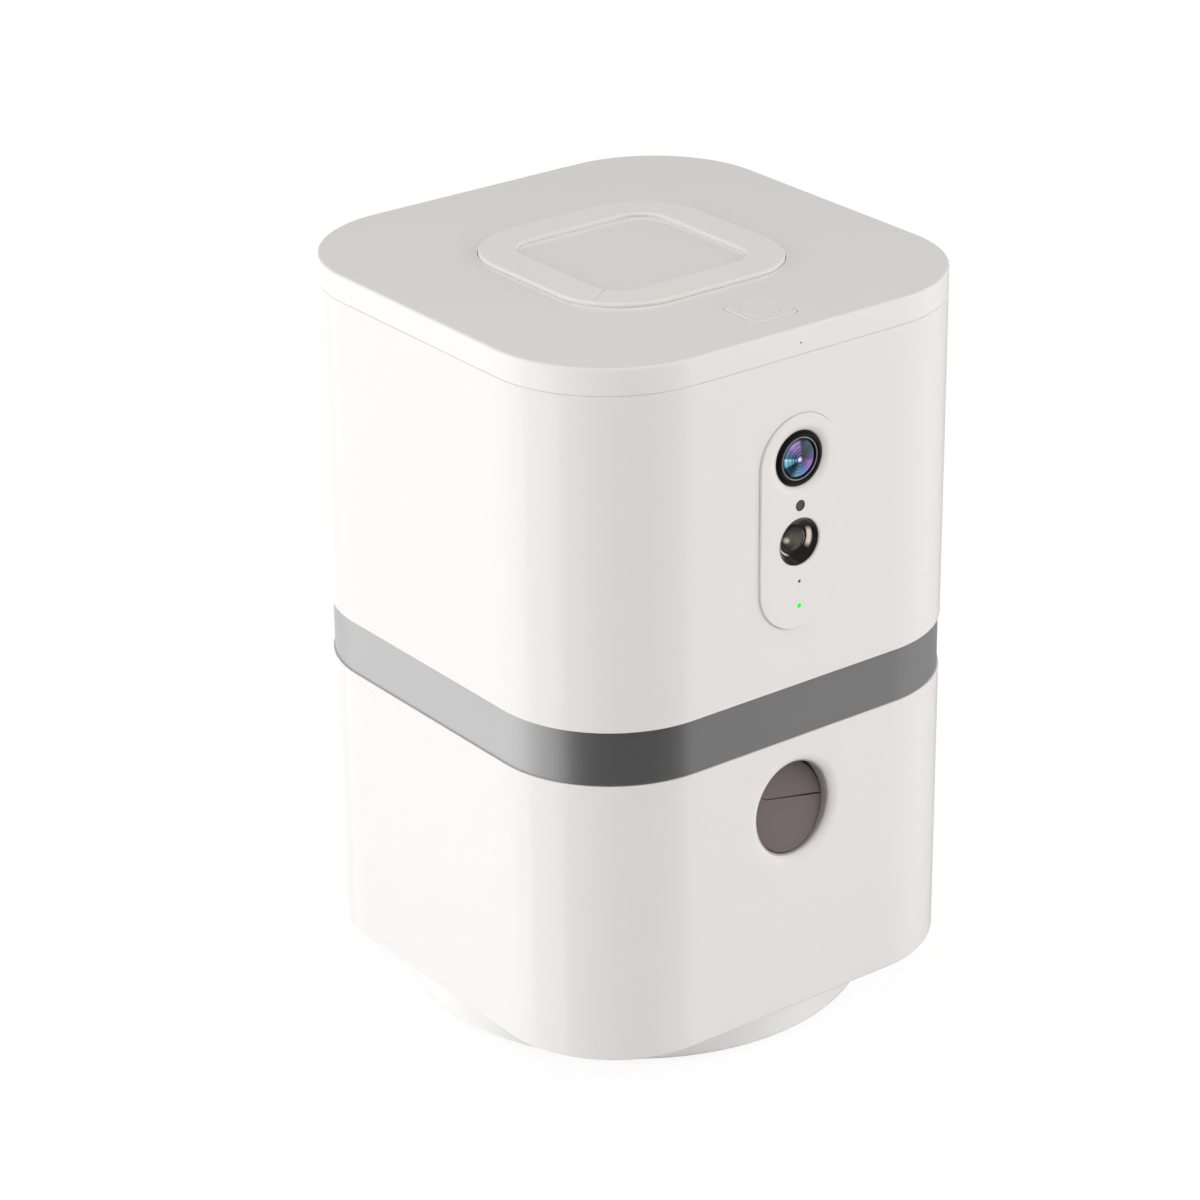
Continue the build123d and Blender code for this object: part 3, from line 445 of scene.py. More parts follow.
def faceFrame(tree, z):
    # position on the front face round height z: across, up, distance and turn from 0 to 1
    split = feed(tree, tree.nodes.new("ShaderNodeSeparateXYZ"), {0: objectCoords(tree)})
    across = split.outputs["X"]
    up = calc(tree, "SUBTRACT", split.outputs["Z"], z)
    turn = remap(tree, calc(tree, "ARCTAN2", up, across), -math.pi, math.pi, 0.0, 1.0)
    return across, up, distance(tree, across, up), turn


def distance(tree, x, z):
    return calc(tree, "SQRT", calc(tree, "ADD", calc(tree, "MULTIPLY", x, x), calc(tree, "MULTIPLY", z, z)))


def spot(tree, across, up, x, z, radius, edge):
    # one inside a disc round (x, z), falling to nothing over the edge
    away = distance(tree, calc(tree, "SUBTRACT", across, x), calc(tree, "SUBTRACT", up, z))
    return remap(tree, away, radius - edge, radius + edge, 1.0, 0.0, smooth=True)


def between(tree, value, low, high, soft):
    # one from low to high, with soft ends
    return calc(tree, "MULTIPLY", remap(tree, value, low, low + soft, 0.0, 1.0, smooth=True),
                remap(tree, value, high - soft, high, 1.0, 0.0, smooth=True))


def ramp(tree, value, stops, ease=False):
    node = feed(tree, tree.nodes.new("ShaderNodeValToRGB"), {0: value})
    colours = node.color_ramp
    if ease:
        colours.interpolation = "EASE"
    while len(colours.elements) > 1:
        colours.elements.remove(colours.elements[-1])
    for index, (place, tone) in enumerate(stops):
        stop = colours.elements[0] if index == 0 else colours.elements.new(place)
        stop.position = place
        stop.color = (*tone, 1)
    return node.outputs[0]


# camera lens

# the lens glass is painted: coloured reflections in rings and wedges, glints at its centre, and a painted glow
lens = {
    "z": 187.6 * mm,
    "face": front - 0.6 * mm,
    "glass": 5.6 * mm,
    "flare": 11.0 * mm,      # radius where the panel begins to dish
    "bezel": 8.3 * mm,
    "flareDepth": 0.9 * mm,
    "glow": 0.42,
    "centreGlint": (-0.5 * mm, 0.0, 0.7 * mm, 0.35 * mm),  # across, up, radius, soft edge
    "centreGlintTone": (0.40, 0.36, 0.80, 1),
    "coreGlint": (-0.5 * mm, 0.0, 0.35 * mm, 0.25 * mm),
    "coreGlintTone": (0.92, 0.90, 1.0, 1),
    "reflectionRings": [(0.0, (0.30, 0.30, 0.34)), (0.16, (0.30, 0.30, 0.36)), (0.20, (0.06, 0.06, 0.10)),
              (0.27, (0.08, 0.08, 0.12)), (0.31, (0.75, 0.75, 0.80)), (0.36, (0.16, 0.16, 0.20)),
              (0.43, (0.22, 0.22, 0.26)), (0.47, (0.80, 0.80, 0.80)), (0.52, (0.28, 0.28, 0.32)),
              (0.60, (0.55, 0.55, 0.58)), (0.66, (0.95, 0.95, 0.95)), (0.72, (0.38, 0.38, 0.42)),
              (0.80, (0.85, 0.85, 0.85)), (0.90, (1.0, 1.0, 1.0)), (0.95, (0.35, 0.35, 0.38)),
              (0.985, (0.02, 0.02, 0.02))],
    "reflectionWedges": [(0.0, (0.20, 0.52, 0.66)), (0.04, (0.15, 0.42, 0.54)), (0.06, (0.010, 0.050, 0.075)),
               (0.17, (0.008, 0.050, 0.085)), (0.21, (0.07, 0.26, 0.42)), (0.30, (0.07, 0.20, 0.48)),
               (0.36, (0.22, 0.12, 0.46)), (0.43, (0.30, 0.14, 0.46)), (0.47, (0.07, 0.05, 0.22)),
               (0.54, (0.04, 0.05, 0.16)), (0.58, (0.012, 0.035, 0.06)), (0.66, (0.018, 0.060, 0.085)),
               (0.73, (0.012, 0.035, 0.06)), (0.755, (0.26, 0.17, 0.42)), (0.84, (0.34, 0.24, 0.50)),
               (0.895, (0.20, 0.14, 0.38)), (0.925, (0.05, 0.22, 0.34)), (0.962, (0.04, 0.18, 0.28)),
               (0.975, (0.48, 0.78, 0.86)), (1.0, (0.20, 0.52, 0.66))],
}


def makeLensPaintedReflections():
    # painted reflections of the lens's multi-layer coating: rings and wedges of violet, blue and teal round a
    # painted bright glint, with a painted glow
    material, tree, shader = newMaterial("lensPaintedReflections")
    across, up, radius, turn = faceFrame(tree, lens["z"])
    shade = ramp(tree, calc(tree, "DIVIDE", radius, lens["glass"]), lens["reflectionRings"])
    tint = mixColour(tree, 1.0, shade, ramp(tree, turn, lens["reflectionWedges"]), "MULTIPLY")
    # painted glints at the centre of the glass
    for place, tone in (("centreGlint", "centreGlintTone"), ("coreGlint", "coreGlintTone")):
        tint = mixColour(tree, spot(tree, across, up, *lens[place]), tint, lens[tone])
    # painted glow: the glass gives off its own painted colours
    feed(tree, shader, {"Base Color": tint, "Emission Color": tint, "Emission Strength": lens["glow"],
                        "Roughness": 0.05, "Coat Weight": 1.0, "Coat Roughness": 0.01})
    return material


# the lamp's colours are painted light: reflections and gleams on the bowl, glints and rim shade on the ball, and a
# painted glow
lamp = {
    "z": 162.6 * mm,
    "glow": 0.3,
    "bowlReflections": [(0.0, (0.22, 0.215, 0.205)), (0.05, (0.12, 0.115, 0.11)), (0.12, (0.03, 0.028, 0.026)),
             (0.22, (0.014, 0.014, 0.013)), (0.54, (0.014, 0.013, 0.012)), (0.64, (0.035, 0.033, 0.031)),
             (0.72, (0.10, 0.098, 0.095)), (0.80, (0.05, 0.047, 0.044)), (0.90, (0.10, 0.095, 0.09)),
             (1.0, (0.22, 0.215, 0.205))],
    # painted highlights on the bowl
    "gleams": [  # inner and outer radius, first and last turn, tone
        (4.8 * mm, 6.0 * mm, 0.385, 0.60, (0.95, 0.85, 0.70)),
        (4.5 * mm, 5.3 * mm, 0.03, 0.22, (0.75, 0.74, 0.72)),
        (5.4 * mm, 5.9 * mm, 0.68, 0.86, (0.34, 0.33, 0.32)),
    ],
    "softRadius": 0.4 * mm,
    "softTurn": 0.07,
    # painted glints on the ball
    "glints": [  # across, up, radius, soft edge, strength, tone
        (-1.9 * mm, 0.8 * mm, 1.8 * mm, 1.4 * mm, 0.3, (0.22, 0.20, 0.17)),
        (-3.2 * mm, 0.6 * mm, 0.65 * mm, 0.6 * mm, 1.0, (0.60, 0.54, 0.44)),
    ],
}


def makePaintedReflectionBowl():
    # polished bowl with painted reflections: pale on its left, dark elsewhere, with painted gleams and a painted
    # glow
    material, tree, shader = newMaterial("paintedReflectionBowl")
    radius, turn = faceFrame(tree, lamp["z"])[2:]
    lines = noise(tree, objectCoords(tree), 900.0, 2.0)
    tone = ramp(tree, turn, lamp["bowlReflections"], ease=True)
    for near, far, first, last, bright in lamp["gleams"]:
        mask = calc(tree, "MULTIPLY", between(tree, radius, near, far, lamp["softRadius"]),
                    between(tree, turn, first, last, lamp["softTurn"]))
        tone = mixColour(tree, mask, tone, (*bright, 1))
    # painted glow: the bowl gives off its own painted tones
    feed(tree, shader, {"Base Color": tone, "Emission Color": tone, "Emission Strength": lamp["glow"],
                        "Roughness": remap(tree, lines, 0.3, 0.7, 0.12, 0.22), "Specular IOR Level": 0.3})
    return material


def makeSmokedDomeAndGlints():
    # smoked ball with painted light: a painted warm glint on the left, painted shade toward the rim, and a painted
    # glow
    material, tree, shader = newMaterial("smokedDomeAndGlints")
    across, up, radius = faceFrame(tree, lamp["z"])[:3]
    cloud = noise(tree, objectCoords(tree), 300.0, 3.0)
    tone = mixColour(tree, cloud, (0.026, 0.023, 0.020, 1), (0.042, 0.037, 0.032, 1))
    for x, z, size, edge, strength, bright in lamp["glints"]:
        mask = calc(tree, "MULTIPLY", spot(tree, across, up, x, z, size, edge), strength)
        tone = mixColour(tree, mask, tone, (*bright, 1))
    # painted shade toward the rim of the ball
    rim = remap(tree, radius, 3.5 * mm, 4.0 * mm, 0.0, 0.5, smooth=True)
    tone = mixColour(tree, rim, tone, (0.012, 0.011, 0.010, 1))
    # painted glow: the ball gives off its own painted tones
    feed(tree, shader, {"Base Color": tone, "Emission Color": tone, "Emission Strength": lamp["glow"],
                        "Roughness": 0.12, "Coat Weight": 0.5})
    return material


def makeClearLens():
    material, tree, shader = newMaterial("clearLens")
    relief(tree, shader, noise(tree, objectCoords(tree), 220.0, 1.0), 0.03)
    feed(tree, shader, {"Base Color": (1.0, 1.0, 1.0, 1), "Roughness": 0.0, "Transmission Weight": 1.0,
                        "IOR": 1.5})
    return material


def makeStatusGreen():
    # the status lamp's light pipe: a slightly uneven green
    material, tree, shader = newMaterial("statusGreen")
    patch = noise(tree, objectCoords(tree), 1500.0, 2.0)
    green = mixColour(tree, patch, (0.0, 0.85, 0.03, 1), (0.0, 1.0, 0.02, 1))
    feed(tree, shader, {"Base Color": green, "Emission Color": green, "Emission Strength": 0.9,
                        "Roughness": 0.3})
    return material


lensPaintedReflections = makeLensPaintedReflections()
paintedReflectionBowl = makePaintedReflectionBowl()
smokedDomeAndGlints = makeSmokedDomeAndGlints()
statusGreen = makeStatusGreen()
slotMaterials["clear_lens"] = makeClearLens()
slotMaterials["lens_coated"] = lensPaintedReflections
slotMaterials["status_green"] = statusGreen
print("lens and lamp materials done")


def dressFrame():
    # every carried-over node gets its slot's finish
    for part in frame["record"]["subparts"]:
        piece = frame["nodes"][part["node"]]
        piece.data.materials.clear()
        piece.data.materials.append(slotMaterials[part["material_slot"]])


dressFrame()


# shells

outlet = {"z": 78.4 * mm, "halfWidth": 13.15 * mm, "halfHeight": 14.6 * mm, "mouth": 0.4 * mm,
          "flare": 3.2 * mm, "depth": 1.6 * mm}
panel = {"z": 168.6 * mm, "halfWidth": 14.2 * mm, "halfHeight": 32.4 * mm, "seamAndPaintedLine": 0.1 * mm,
         "plateBack": front + 3.0 * mm, "flangeFront": front + 2.5 * mm, "back": front + 4.0 * mm,
         "flange": 1.3 * mm, "rim": 0.56 * mm}


def outerBlock(low, high, inset=0.0):
    return block(housing["halfX"] - inset, housing["halfY"] - inset, housing["corner"] - inset,
                 low, high, housing["steps"])


def shellBlock(settings):
    # the housing's outline with both rims rounded
    shell = outerBlock(settings["low"], settings["high"])
    roundRim(shell, settings["low"], *settings["lowRound"])
    roundRim(shell, settings["high"], *settings["highRound"])
    return shell


def shellHollow(settings):
    return outerBlock(settings["low"] - mm, settings["high"] + mm, housing["wall"])


def makeLowerShell():
    settings = {"low": 13.0 * mm, "high": 101.6 * mm, "lowRound": (1.2 * mm, 5), "highRound": (0.25 * mm, 3),
                "inletZ": 24.0 * mm, "inlet": [(0.0, 70.0), (4.0, 70.0), (4.0, 75.2), (4.6, 77.0), (0.0, 77.0)]}
    bore = outlet["halfHeight"]
    lip = bore + outlet["mouth"]
    ahead, behind = front - 2 * mm, front + 4 * mm
    flare = [(0.0, ahead), (lip + outlet["flare"] + 0.4 * mm, ahead)]
    flare += [(lip + outlet["flare"] * a, front + outlet["depth"] * b) for a, b in quarterRound(12)]
    flare += [(lip, behind), (0.0, behind)]
    mouth = squash(turned(flare, outlet["z"]), outlet["z"], outlet["halfWidth"], bore)
    inlet = turned(scaled(settings["inlet"]), settings["inletZ"], 48)
    shell = carve(shellBlock(settings), [shellHollow(settings), mouth, inlet])
    finish(shell, "lowerShell", "housing", housingWhite, ["lower_shell"])


def makeBand():
    settings = {"low": 101.6 * mm, "high": 118.3 * mm, "inset": 0.55 * mm, "tongue": 3.2 * mm,
                "cut": (90 * mm, 130 * mm)}
    ring = outerBlock(settings["low"], settings["high"], settings["inset"])
    tongue = outerBlock(settings["low"] - settings["tongue"], settings["high"] + settings["tongue"],
                        housing["wall"])
    ring = carve(ring, [tongue], "UNION")
    ring = carve(ring, [outerBlock(*settings["cut"], housing["tongue"])])
    finish(ring, "bandRing", "housing", bandGrey, ["band"])


def makeUpperShell():
    settings = {"low": 118.3 * mm, "high": 218.3 * mm, "lowRound": (0.25 * mm, 3), "highRound": (0.35 * mm, 3),
                "grilleZ": 150.0 * mm, "grille": cylinder(16.0 * mm, 70 * mm, 77 * mm)}
    through = frontPill(panel["halfWidth"] + panel["seamAndPaintedLine"], panel["halfHeight"] + panel["seamAndPaintedLine"], panel["z"],
                        front - mm, panel["back"])
    grille = turned(settings["grille"], settings["grilleZ"], 64)
    shell = carve(shellBlock(settings), [shellHollow(settings), through, grille])
    finish(shell, "upperShell", "housing", housingWhite, ["upper_shell"])


button = {"y": -58.2 * mm, "half": 7.65 * mm, "corner": 1.8 * mm, "low": 221.6 * mm, "top": 226.45 * mm,
          "round": 0.35 * mm, "ring": 5.6 * mm, "flange": 1.1 * mm, "flangeLow": 222.0 * mm,
          "flangeTop": 223.6 * mm, "stem": (2.0 * mm, 219.45 * mm, 222.8 * mm), "dimples": (-2.2, 0.0, 2.2)}


def makeTopCover():
    settings = {"low": 218.3 * mm, "high": 226.3 * mm, "lowRound": (0.35 * mm, 3), "highRound": (0.7 * mm, 5),
                "tongueLow": 215.1 * mm, "hollowLow": 214.0 * mm, "pinZ": 221.7 * mm, "pinRadius": 0.35 * mm,
                "ledge": (42.0 * mm, 42.0 * mm, 27.0 * mm, 221.8 * mm, 225.3 * mm),
                "pocket": (38.0 * mm, 38.0 * mm, 22.7 * mm, 224.3 * mm, 227.3 * mm),
                "mouth": (34.0 * mm, 34.0 * mm, 19.0 * mm, 210.0 * mm, 230.0 * mm),
                "well": [(7.8, 210.0), (7.8, 226.0), (8.15, 226.33), (8.2, 230.0)], "wellInset": 5.85}
    tongue = outerBlock(settings["tongueLow"], settings["low"] + mm, housing["wall"])
    hollow = outerBlock(settings["hollowLow"], settings["high"] - housing["wall"], housing["tongue"])
    cover = carve(shellBlock(settings), [tongue], "UNION")
    cover = carve(cover, [hollow])
    cover = carve(cover, [block(*settings["ledge"])], "UNION")
    well = stack([(half * mm, (half - settings["wellInset"]) * mm, z * mm) for half, z in settings["well"]], 8,
                 centre=(0.0, button["y"]))
    pin = turned(cylinder(settings["pinRadius"], front - mm, front + 4 * mm), settings["pinZ"], 24)
    cover = carve(cover, [block(*settings["pocket"], 32), block(*settings["mouth"], 32), well, pin])
    finish(cover, "topCover", "housing", coverWhite, ["top_cover"])


def makeButton():
    half, corner, top, ring = (button[key] for key in ("half", "corner", "top", "ring"))
    middle = (0.0, button["y"])
    wide = half + button["flange"]
    cap = block(half, half, corner, button["low"], top, 8, middle)
    roundRim(cap, top, button["round"], 4)
    flange = block(wide, wide, corner, button["flangeLow"], button["flangeTop"], 8, middle)
    stem = upright(cylinder(*button["stem"]), 24, middle)
    cap = carve(cap, [flange, stem], "UNION")
    groove = [(ring + r, z) for r, z in scaled([(-0.35, 0.2), (0.0, -0.25), (0.35, 0.2)], top)]
    dimple = scaled([(0.0, -0.2), (0.55, -0.05), (0.7, 0.2), (0.0, 0.2)], top)
    marks = [upright(dimple, 20, (x * mm, button["y"])) for x in button["dimples"]]
    cap = carve(cap, [upright(groove, 64, middle)] + marks)
    finish(cap, "setButton", "set_button", coverWhite, ["set_button"])


lid = {
    "levels": [  # half width, corner and height in mm, from the hollow's top round the skirt to the pad
        (31.6, 16.6, 224.3), (31.6, 16.6, 212.0), (33.6, 18.6, 212.0), (33.6, 18.6, 217.0), (32.9, 17.9, 217.0),
        (32.9, 17.9, 219.0), (33.6, 18.6, 219.0), (33.6, 18.6, 224.3), (37.8, 22.5, 224.3), (37.8, 22.5, 225.3),
        (25.9, 9.0, 225.3), (25.9, 9.0, 226.1), (25.84, 8.94, 226.24), (25.7, 8.8, 226.3)],
    "ringOuter": (37.8 * mm, 22.5 * mm, 0.75 * mm),  # half width, corner and rounding
    "ringInner": (25.95 * mm, 9.0 * mm, 0.6 * mm),
    "ringLow": 225.3 * mm,
    "ringTop": 227.5 * mm,
    "seamWidth": 0.14 * mm,
    "seamDepth": 0.22 * mm,
    "seams": [(20.5 * mm, 32.2 * mm, 8.2 * mm, 0.0), (-28.3 * mm, -23.0 * mm, 12.5 * mm, -55.0)],
}


def makeLid():
    plate = stack([[size * mm for size in level] for level in lid["levels"]], 32)
    finish(plate, "treatLid", "fill_lid", coverWhite, ["fill_lid"])


def makeGripRing():
    low, top = lid["ringLow"], lid["ringTop"]
    half, corner, size = lid["ringOuter"]
    levels = [(half, corner, low)]
    levels += [(half - size * b, corner - size * b, top - size * a) for a, b in quarterRound(6)]
    half, corner, size = lid["ringInner"]
    levels += [(half + size * b, corner + size * b, top - size * a) for a, b in quarterRound(6)[::-1]]
    levels.append((half, corner, low))
    cuts = []
    for x, y, length, turn in lid["seams"]:
        line = block(lid["seamWidth"], length / 2, 0.0, top - lid["seamDepth"], top + mm)
        bmesh.ops.rotate(line, verts=line.verts, cent=(0, 0, 0), matrix=Matrix.Rotation(math.radians(turn), 3, "Z"))
        bmesh.ops.translate(line, verts=line.verts, vec=(x, y, 0))
        cuts.append(line)
    ring = carve(stack(levels, 32, ring=True), cuts)
    finish(ring, "gripRing", "fill_lid", ringSoft, ["grip_ring"], sharp=40)


def makeBase():
    settings = {"radius": 70.0 * mm, "low": 1.0 * mm, "top": 12.4 * mm, "foot": 1.4 * mm, "lip": 0.5 * mm,
                "groove": [(59.0, 2.0), (66.0, 2.0), (66.0, 1.0)],
                "inside": [(67.5, 12.4), (67.5, 3.5), (65.5, 3.5), (65.5, 11.0), (63.0, 11.0), (63.0, 3.5),
                           (12.0, 3.5), (12.0, 11.0), (8.0, 11.0), (8.0, 21.3), (2.4, 21.3), (2.4, 15.0),
                           (0.0, 15.0), (0.0, 1.0), (59.0, 1.0)],
                "ring": [(59.0, 2.0), (59.0, 0.5), (59.15, 0.15), (59.5, 0.0), (65.5, 0.0), (65.85, 0.15),
                         (66.0, 0.5), (66.0, 2.0)]}
    radius, low, top, foot, lip = (settings[key] for key in ("radius", "low", "top", "foot", "lip"))
    edge = [(radius - foot * a, low + foot * b) for a, b in quarterRound(6)]
    edge += [(radius - lip * b, top - lip * a) for a, b in quarterRound(5)]
    tray = upright(scaled(settings["groove"]) + edge + scaled(settings["inside"]), 160)
    finish(tray, "baseTray", "base", baseWhite, ["base_tray"])
    finish(upright(scaled(settings["ring"]), 128), "footRing", "base", rubberDark, ["foot_ring"])


makeBase()
makeLowerShell()
makeBand()
makeUpperShell()
makeTopCover()
makeButton()
makeLid()
makeGripRing()
print("shells, cover, button and lid done")


# camera panel, lens and lamp; depths are in mm from the panel's face

lensRings = {
    "bezel": [(6.35, 0.45), (6.55, 0.2), (6.9, 0.12), (7.6, 0.2), (8.05, 0.45), (8.3, 0.9), (8.3, 4.6),
              (6.35, 4.6)],
    "trim": [(6.0, 0.5), (6.15, 0.3), (6.35, 0.42), (6.35, 4.6), (6.0, 4.6)],
    "collar": [(5.7, 0.9), (5.85, 0.6), (6.0, 0.5), (6.0, 4.6), (5.7, 4.6)],
    "glass": [(5.7 * i / 12, (i / 12) ** 2 - 0.1) for i in range(13)] + [(5.7, 3.1), (0.0, 3.1)],
}
lampRings = {
    "hole": [(0.0, -1.0), (7.6, -1.0), (7.6, 0.0), (7.35, 0.08), (7.1, 0.4), (7.1, 5.6), (0.0, 5.6)],
    "bezel": [(6.4, 0.8), (6.6, 0.5), (6.85, 0.4), (7.1, 0.55), (7.1, 4.6), (6.4, 4.6)],
    "reflector": [(6.4, 4.6)] + [(6.4 - 2.2 * i / 12, 0.8 + 2.6 * math.sin(math.pi / 24 * i) ** 0.9)
                                 for i in range(13)] + [(4.2, 4.6)],
    "ball": [(4.1 * math.sin(math.pi / 28 * i), 3.4 - 2.2 * math.cos(math.pi / 28 * i))
             for i in range(15)] + [(4.1, 4.6), (0.0, 4.6)],
}
sensor = {"z": 173.7 * mm, "hole": 1.65 * mm, "window": cylinder(1.35, 0.12, 2.0),
          "rim": [(1.35, 0.06), (1.65, 0.02), (1.65, 2.0), (1.35, 2.0)]}
mic = {"z": 150.7 * mm, "hole": 0.5 * mm, "screen": cylinder(0.49, 0.3, 1.2)}
status = {"z": 143.2 * mm, "hole": 0.8 * mm,
          "pipe": [(0.0, -0.05), (0.5, -0.02), (0.8, 0.05), (0.8, 5.1), (0.0, 5.1)]}


def facePiece(profile, z, name, material, replaced=(), sharp=60.0, steps=96):
    piece = turned(scaled(profile, lens["face"]), z, steps)
    finish(piece, name, "housing", material, replaced, sharp)


def makePanel():
    face, back = lens["face"], panel["back"]
    halfWidth, halfHeight, z, flange = (panel[key] for key in ("halfWidth", "halfHeight", "z", "flange"))
    plate = frontPill(halfWidth, halfHeight, z, face, panel["plateBack"])
    bevelled(plate, edgesAt(plate, 1, face), panel["rim"], 5)
    flange = frontPill(halfWidth + flange, halfHeight + flange, z, panel["flangeFront"], back)
    plate = carve(plate, [flange], "UNION")
    holes = [turned(cylinder(item["hole"], face - mm, back + mm), item["z"], 48) for item in (sensor, mic, status)]
    holes.append(turned(scaled(lampRings["hole"], face), lamp["z"]))
    dish = [(0.0, face - mm), (lens["flare"], face - mm)]
    for t in (i / 8 for i in range(9)):
        dish.append((lens["flare"] - (lens["flare"] - lens["bezel"]) * t, face + lens["flareDepth"] * t ** 2))
    dish += [(lens["bezel"], back + mm), (0.0, back + mm)]
    plate = carve(plate, holes + [turned(dish, lens["z"])])
    finish(plate, "cameraPanel", "housing", panelWhite, ["camera_panel"])


def makeLensPieces():
    z = lens["z"]
    facePiece(lensRings["bezel"], z, "lensBezel", bezelBlack, ["lens_bezel"])
    facePiece(lensRings["trim"], z, "lensTrim", brightTrim, ["lens_trim"], 50)
    facePiece(lensRings["collar"], z, "lensCollar", bezelBlack)
    facePiece(lensRings["glass"], z, "lensGlass", lensPaintedReflections, ["lens_glass"], 50)


def makeLampPieces():
    z = lamp["z"]
    facePiece(lampRings["bezel"], z, "lampBezel", paintedReflectionBowl, ["lamp_bezel"])
    facePiece(lampRings["reflector"], z, "lampReflector", paintedReflectionBowl, ["lamp_reflector"])
    facePiece(lampRings["ball"], z, "lampDome", smokedDomeAndGlints, ["lamp_dome"])


def makeSmallParts():
    # light sensor with its rim, microphone screen and status light
    facePiece(sensor["window"], sensor["z"], "sensorWindow", sensorGrey, ["light_sensor"], 32, 48)
    facePiece(sensor["rim"], sensor["z"], "sensorRim", bezelBlack, (), 32, 48)
    facePiece(mic["screen"], mic["z"], "micScreen", chipBlack, (), 32, 32)
    facePiece(status["pipe"], status["z"], "statusLight", statusGreen, ["status_light"], 60, 40)


makePanel()
makeLensPieces()
makeLampPieces()
makeSmallParts()
print("camera panel done")


# treat outlet: tube, paddle and flap

plates = {"y": -71.4 * mm, "z": 80.6 * mm}  # the line that both plates lean back from
paddle = {
    "size": (12.85 * mm, 14.3 * mm),
    "edge": [(-13.5 * mm, 87.4 * mm), (-7.5 * mm, 82.0 * mm), (15.0 * mm, 77.6 * mm)],
    "tilt": math.radians(7),
    "thickness": 2.1 * mm,
    "bevel": 0.22 * mm,
    "pivot": (-67.0 * mm, 40.0 * mm),
    "hub": (4.5 * mm, 2.05 * mm, 3.0 * mm),    # outer and inner radius, half width
    "clear": (4.4 * mm, 0.1 * mm, 4.0 * mm),
    "ribHalf": 3.0 * mm,
    "rib": [(-70.6, 41.5), (-71.9, 64.0), (-70.2, 78.5), (-68.1, 77.0), (-67.6, 66.0), (-63.4, 41.5)],
}
flap = {
    "size": (12.6 * mm, 13.3 * mm),
    "edge": [(-13.5 * mm, 87.6 * mm), (-7.5 * mm, 82.2 * mm), (15.0 * mm, 78.3 * mm)],
    "tilt": math.radians(12),
    "thickness": 1.2 * mm,
    "bevel": 0.2 * mm,
    "pivot": (-68.7 * mm, 93.4 * mm),
    "hinge": (1.5 * mm, 0.85 * mm, 4.5 * mm),
    "tabHalf": 4.5 * mm,
    "tab": [(-69.75, 88.4), (-68.85, 92.7), (-67.6, 92.7), (-68.5, 88.4)],
}


def edgeHeight(edge, x):
    for (x0, z0), (x1, z1) in zip(edge, edge[1:]):
        if x <= x1 or (x1, z1) == edge[-1]:
            return z0 + (z1 - z0) * (x - x0) / (x1 - x0)


def ovalPlate(settings, above):
    # a plate that fills the oval above or below a slanting edge, leaning back at its top
    halfWidth, halfHeight = settings["size"]
    edge = settings["edge"]
    samples = sorted([halfWidth * math.sin(math.pi * (i / 48 - 0.5)) for i in range(49)] + [edge[1][0]])
    lower = []
    upper = []
    for x in samples:
        rise = halfHeight * math.sqrt(max(0.0, 1 - (x / halfWidth) ** 2))
        cut = edgeHeight(edge, x)
        low = max(outlet["z"] - rise, cut) if above else outlet["z"] - rise
        high = outlet["z"] + rise if above else min(outlet["z"] + rise, cut)
        if high - low > 0.25 * mm:
            lower.append((x, low))
            upper.append((x, high))
    bm = drawnOut([(x, 0.0, z) for x, z in lower + upper[::-1]], (0, settings["thickness"], 0))
    bevelled(bm, edgesAt(bm, 1, 0.0), settings["bevel"], 3, clamp=True)
    for v in bm.verts:
        v.co.y += plates["y"] + (v.co.z - plates["z"]) * math.tan(settings["tilt"])
    return bm


def crossBar(outline, halfWidth):
    # a bar of this (y, z) outline that runs across the object
    return drawnOut([(-halfWidth, y, z) for y, z in outline], (2 * halfWidth, 0, 0))


def crossTube(pivot, outer, inner, halfWidth, steps=32):
    turns = [2 * math.pi * i / steps for i in range(steps)]
    bar, hole = (crossBar([(pivot[0] + r * math.cos(t), pivot[1] + r * math.sin(t)) for t in turns], half)
                 for r, half in ((outer, halfWidth), (inner, halfWidth + mm)))
    return carve(bar, [hole])


def makePaddle():
    arm = crossBar(scaled(paddle["rib"]), paddle["ribHalf"])
    arm = carve(arm, [crossTube(paddle["pivot"], *paddle["clear"])])
    hub = crossTube(paddle["pivot"], *paddle["hub"])
    finish(joined(ovalPlate(paddle, False), [arm, hub]), "launchPaddle", "launch_arm", paddleGrey,
           ["launch_arm"])


def makeFlap():
    hinge = crossTube(flap["pivot"], *flap["hinge"], 24)
    tab = crossBar(scaled(flap["tab"]), flap["tabHalf"])
    finish(joined(ovalPlate(flap, True), [hinge, tab]), "outletFlap", "outlet_flap", paddleGrey,
           ["outlet_flap"])


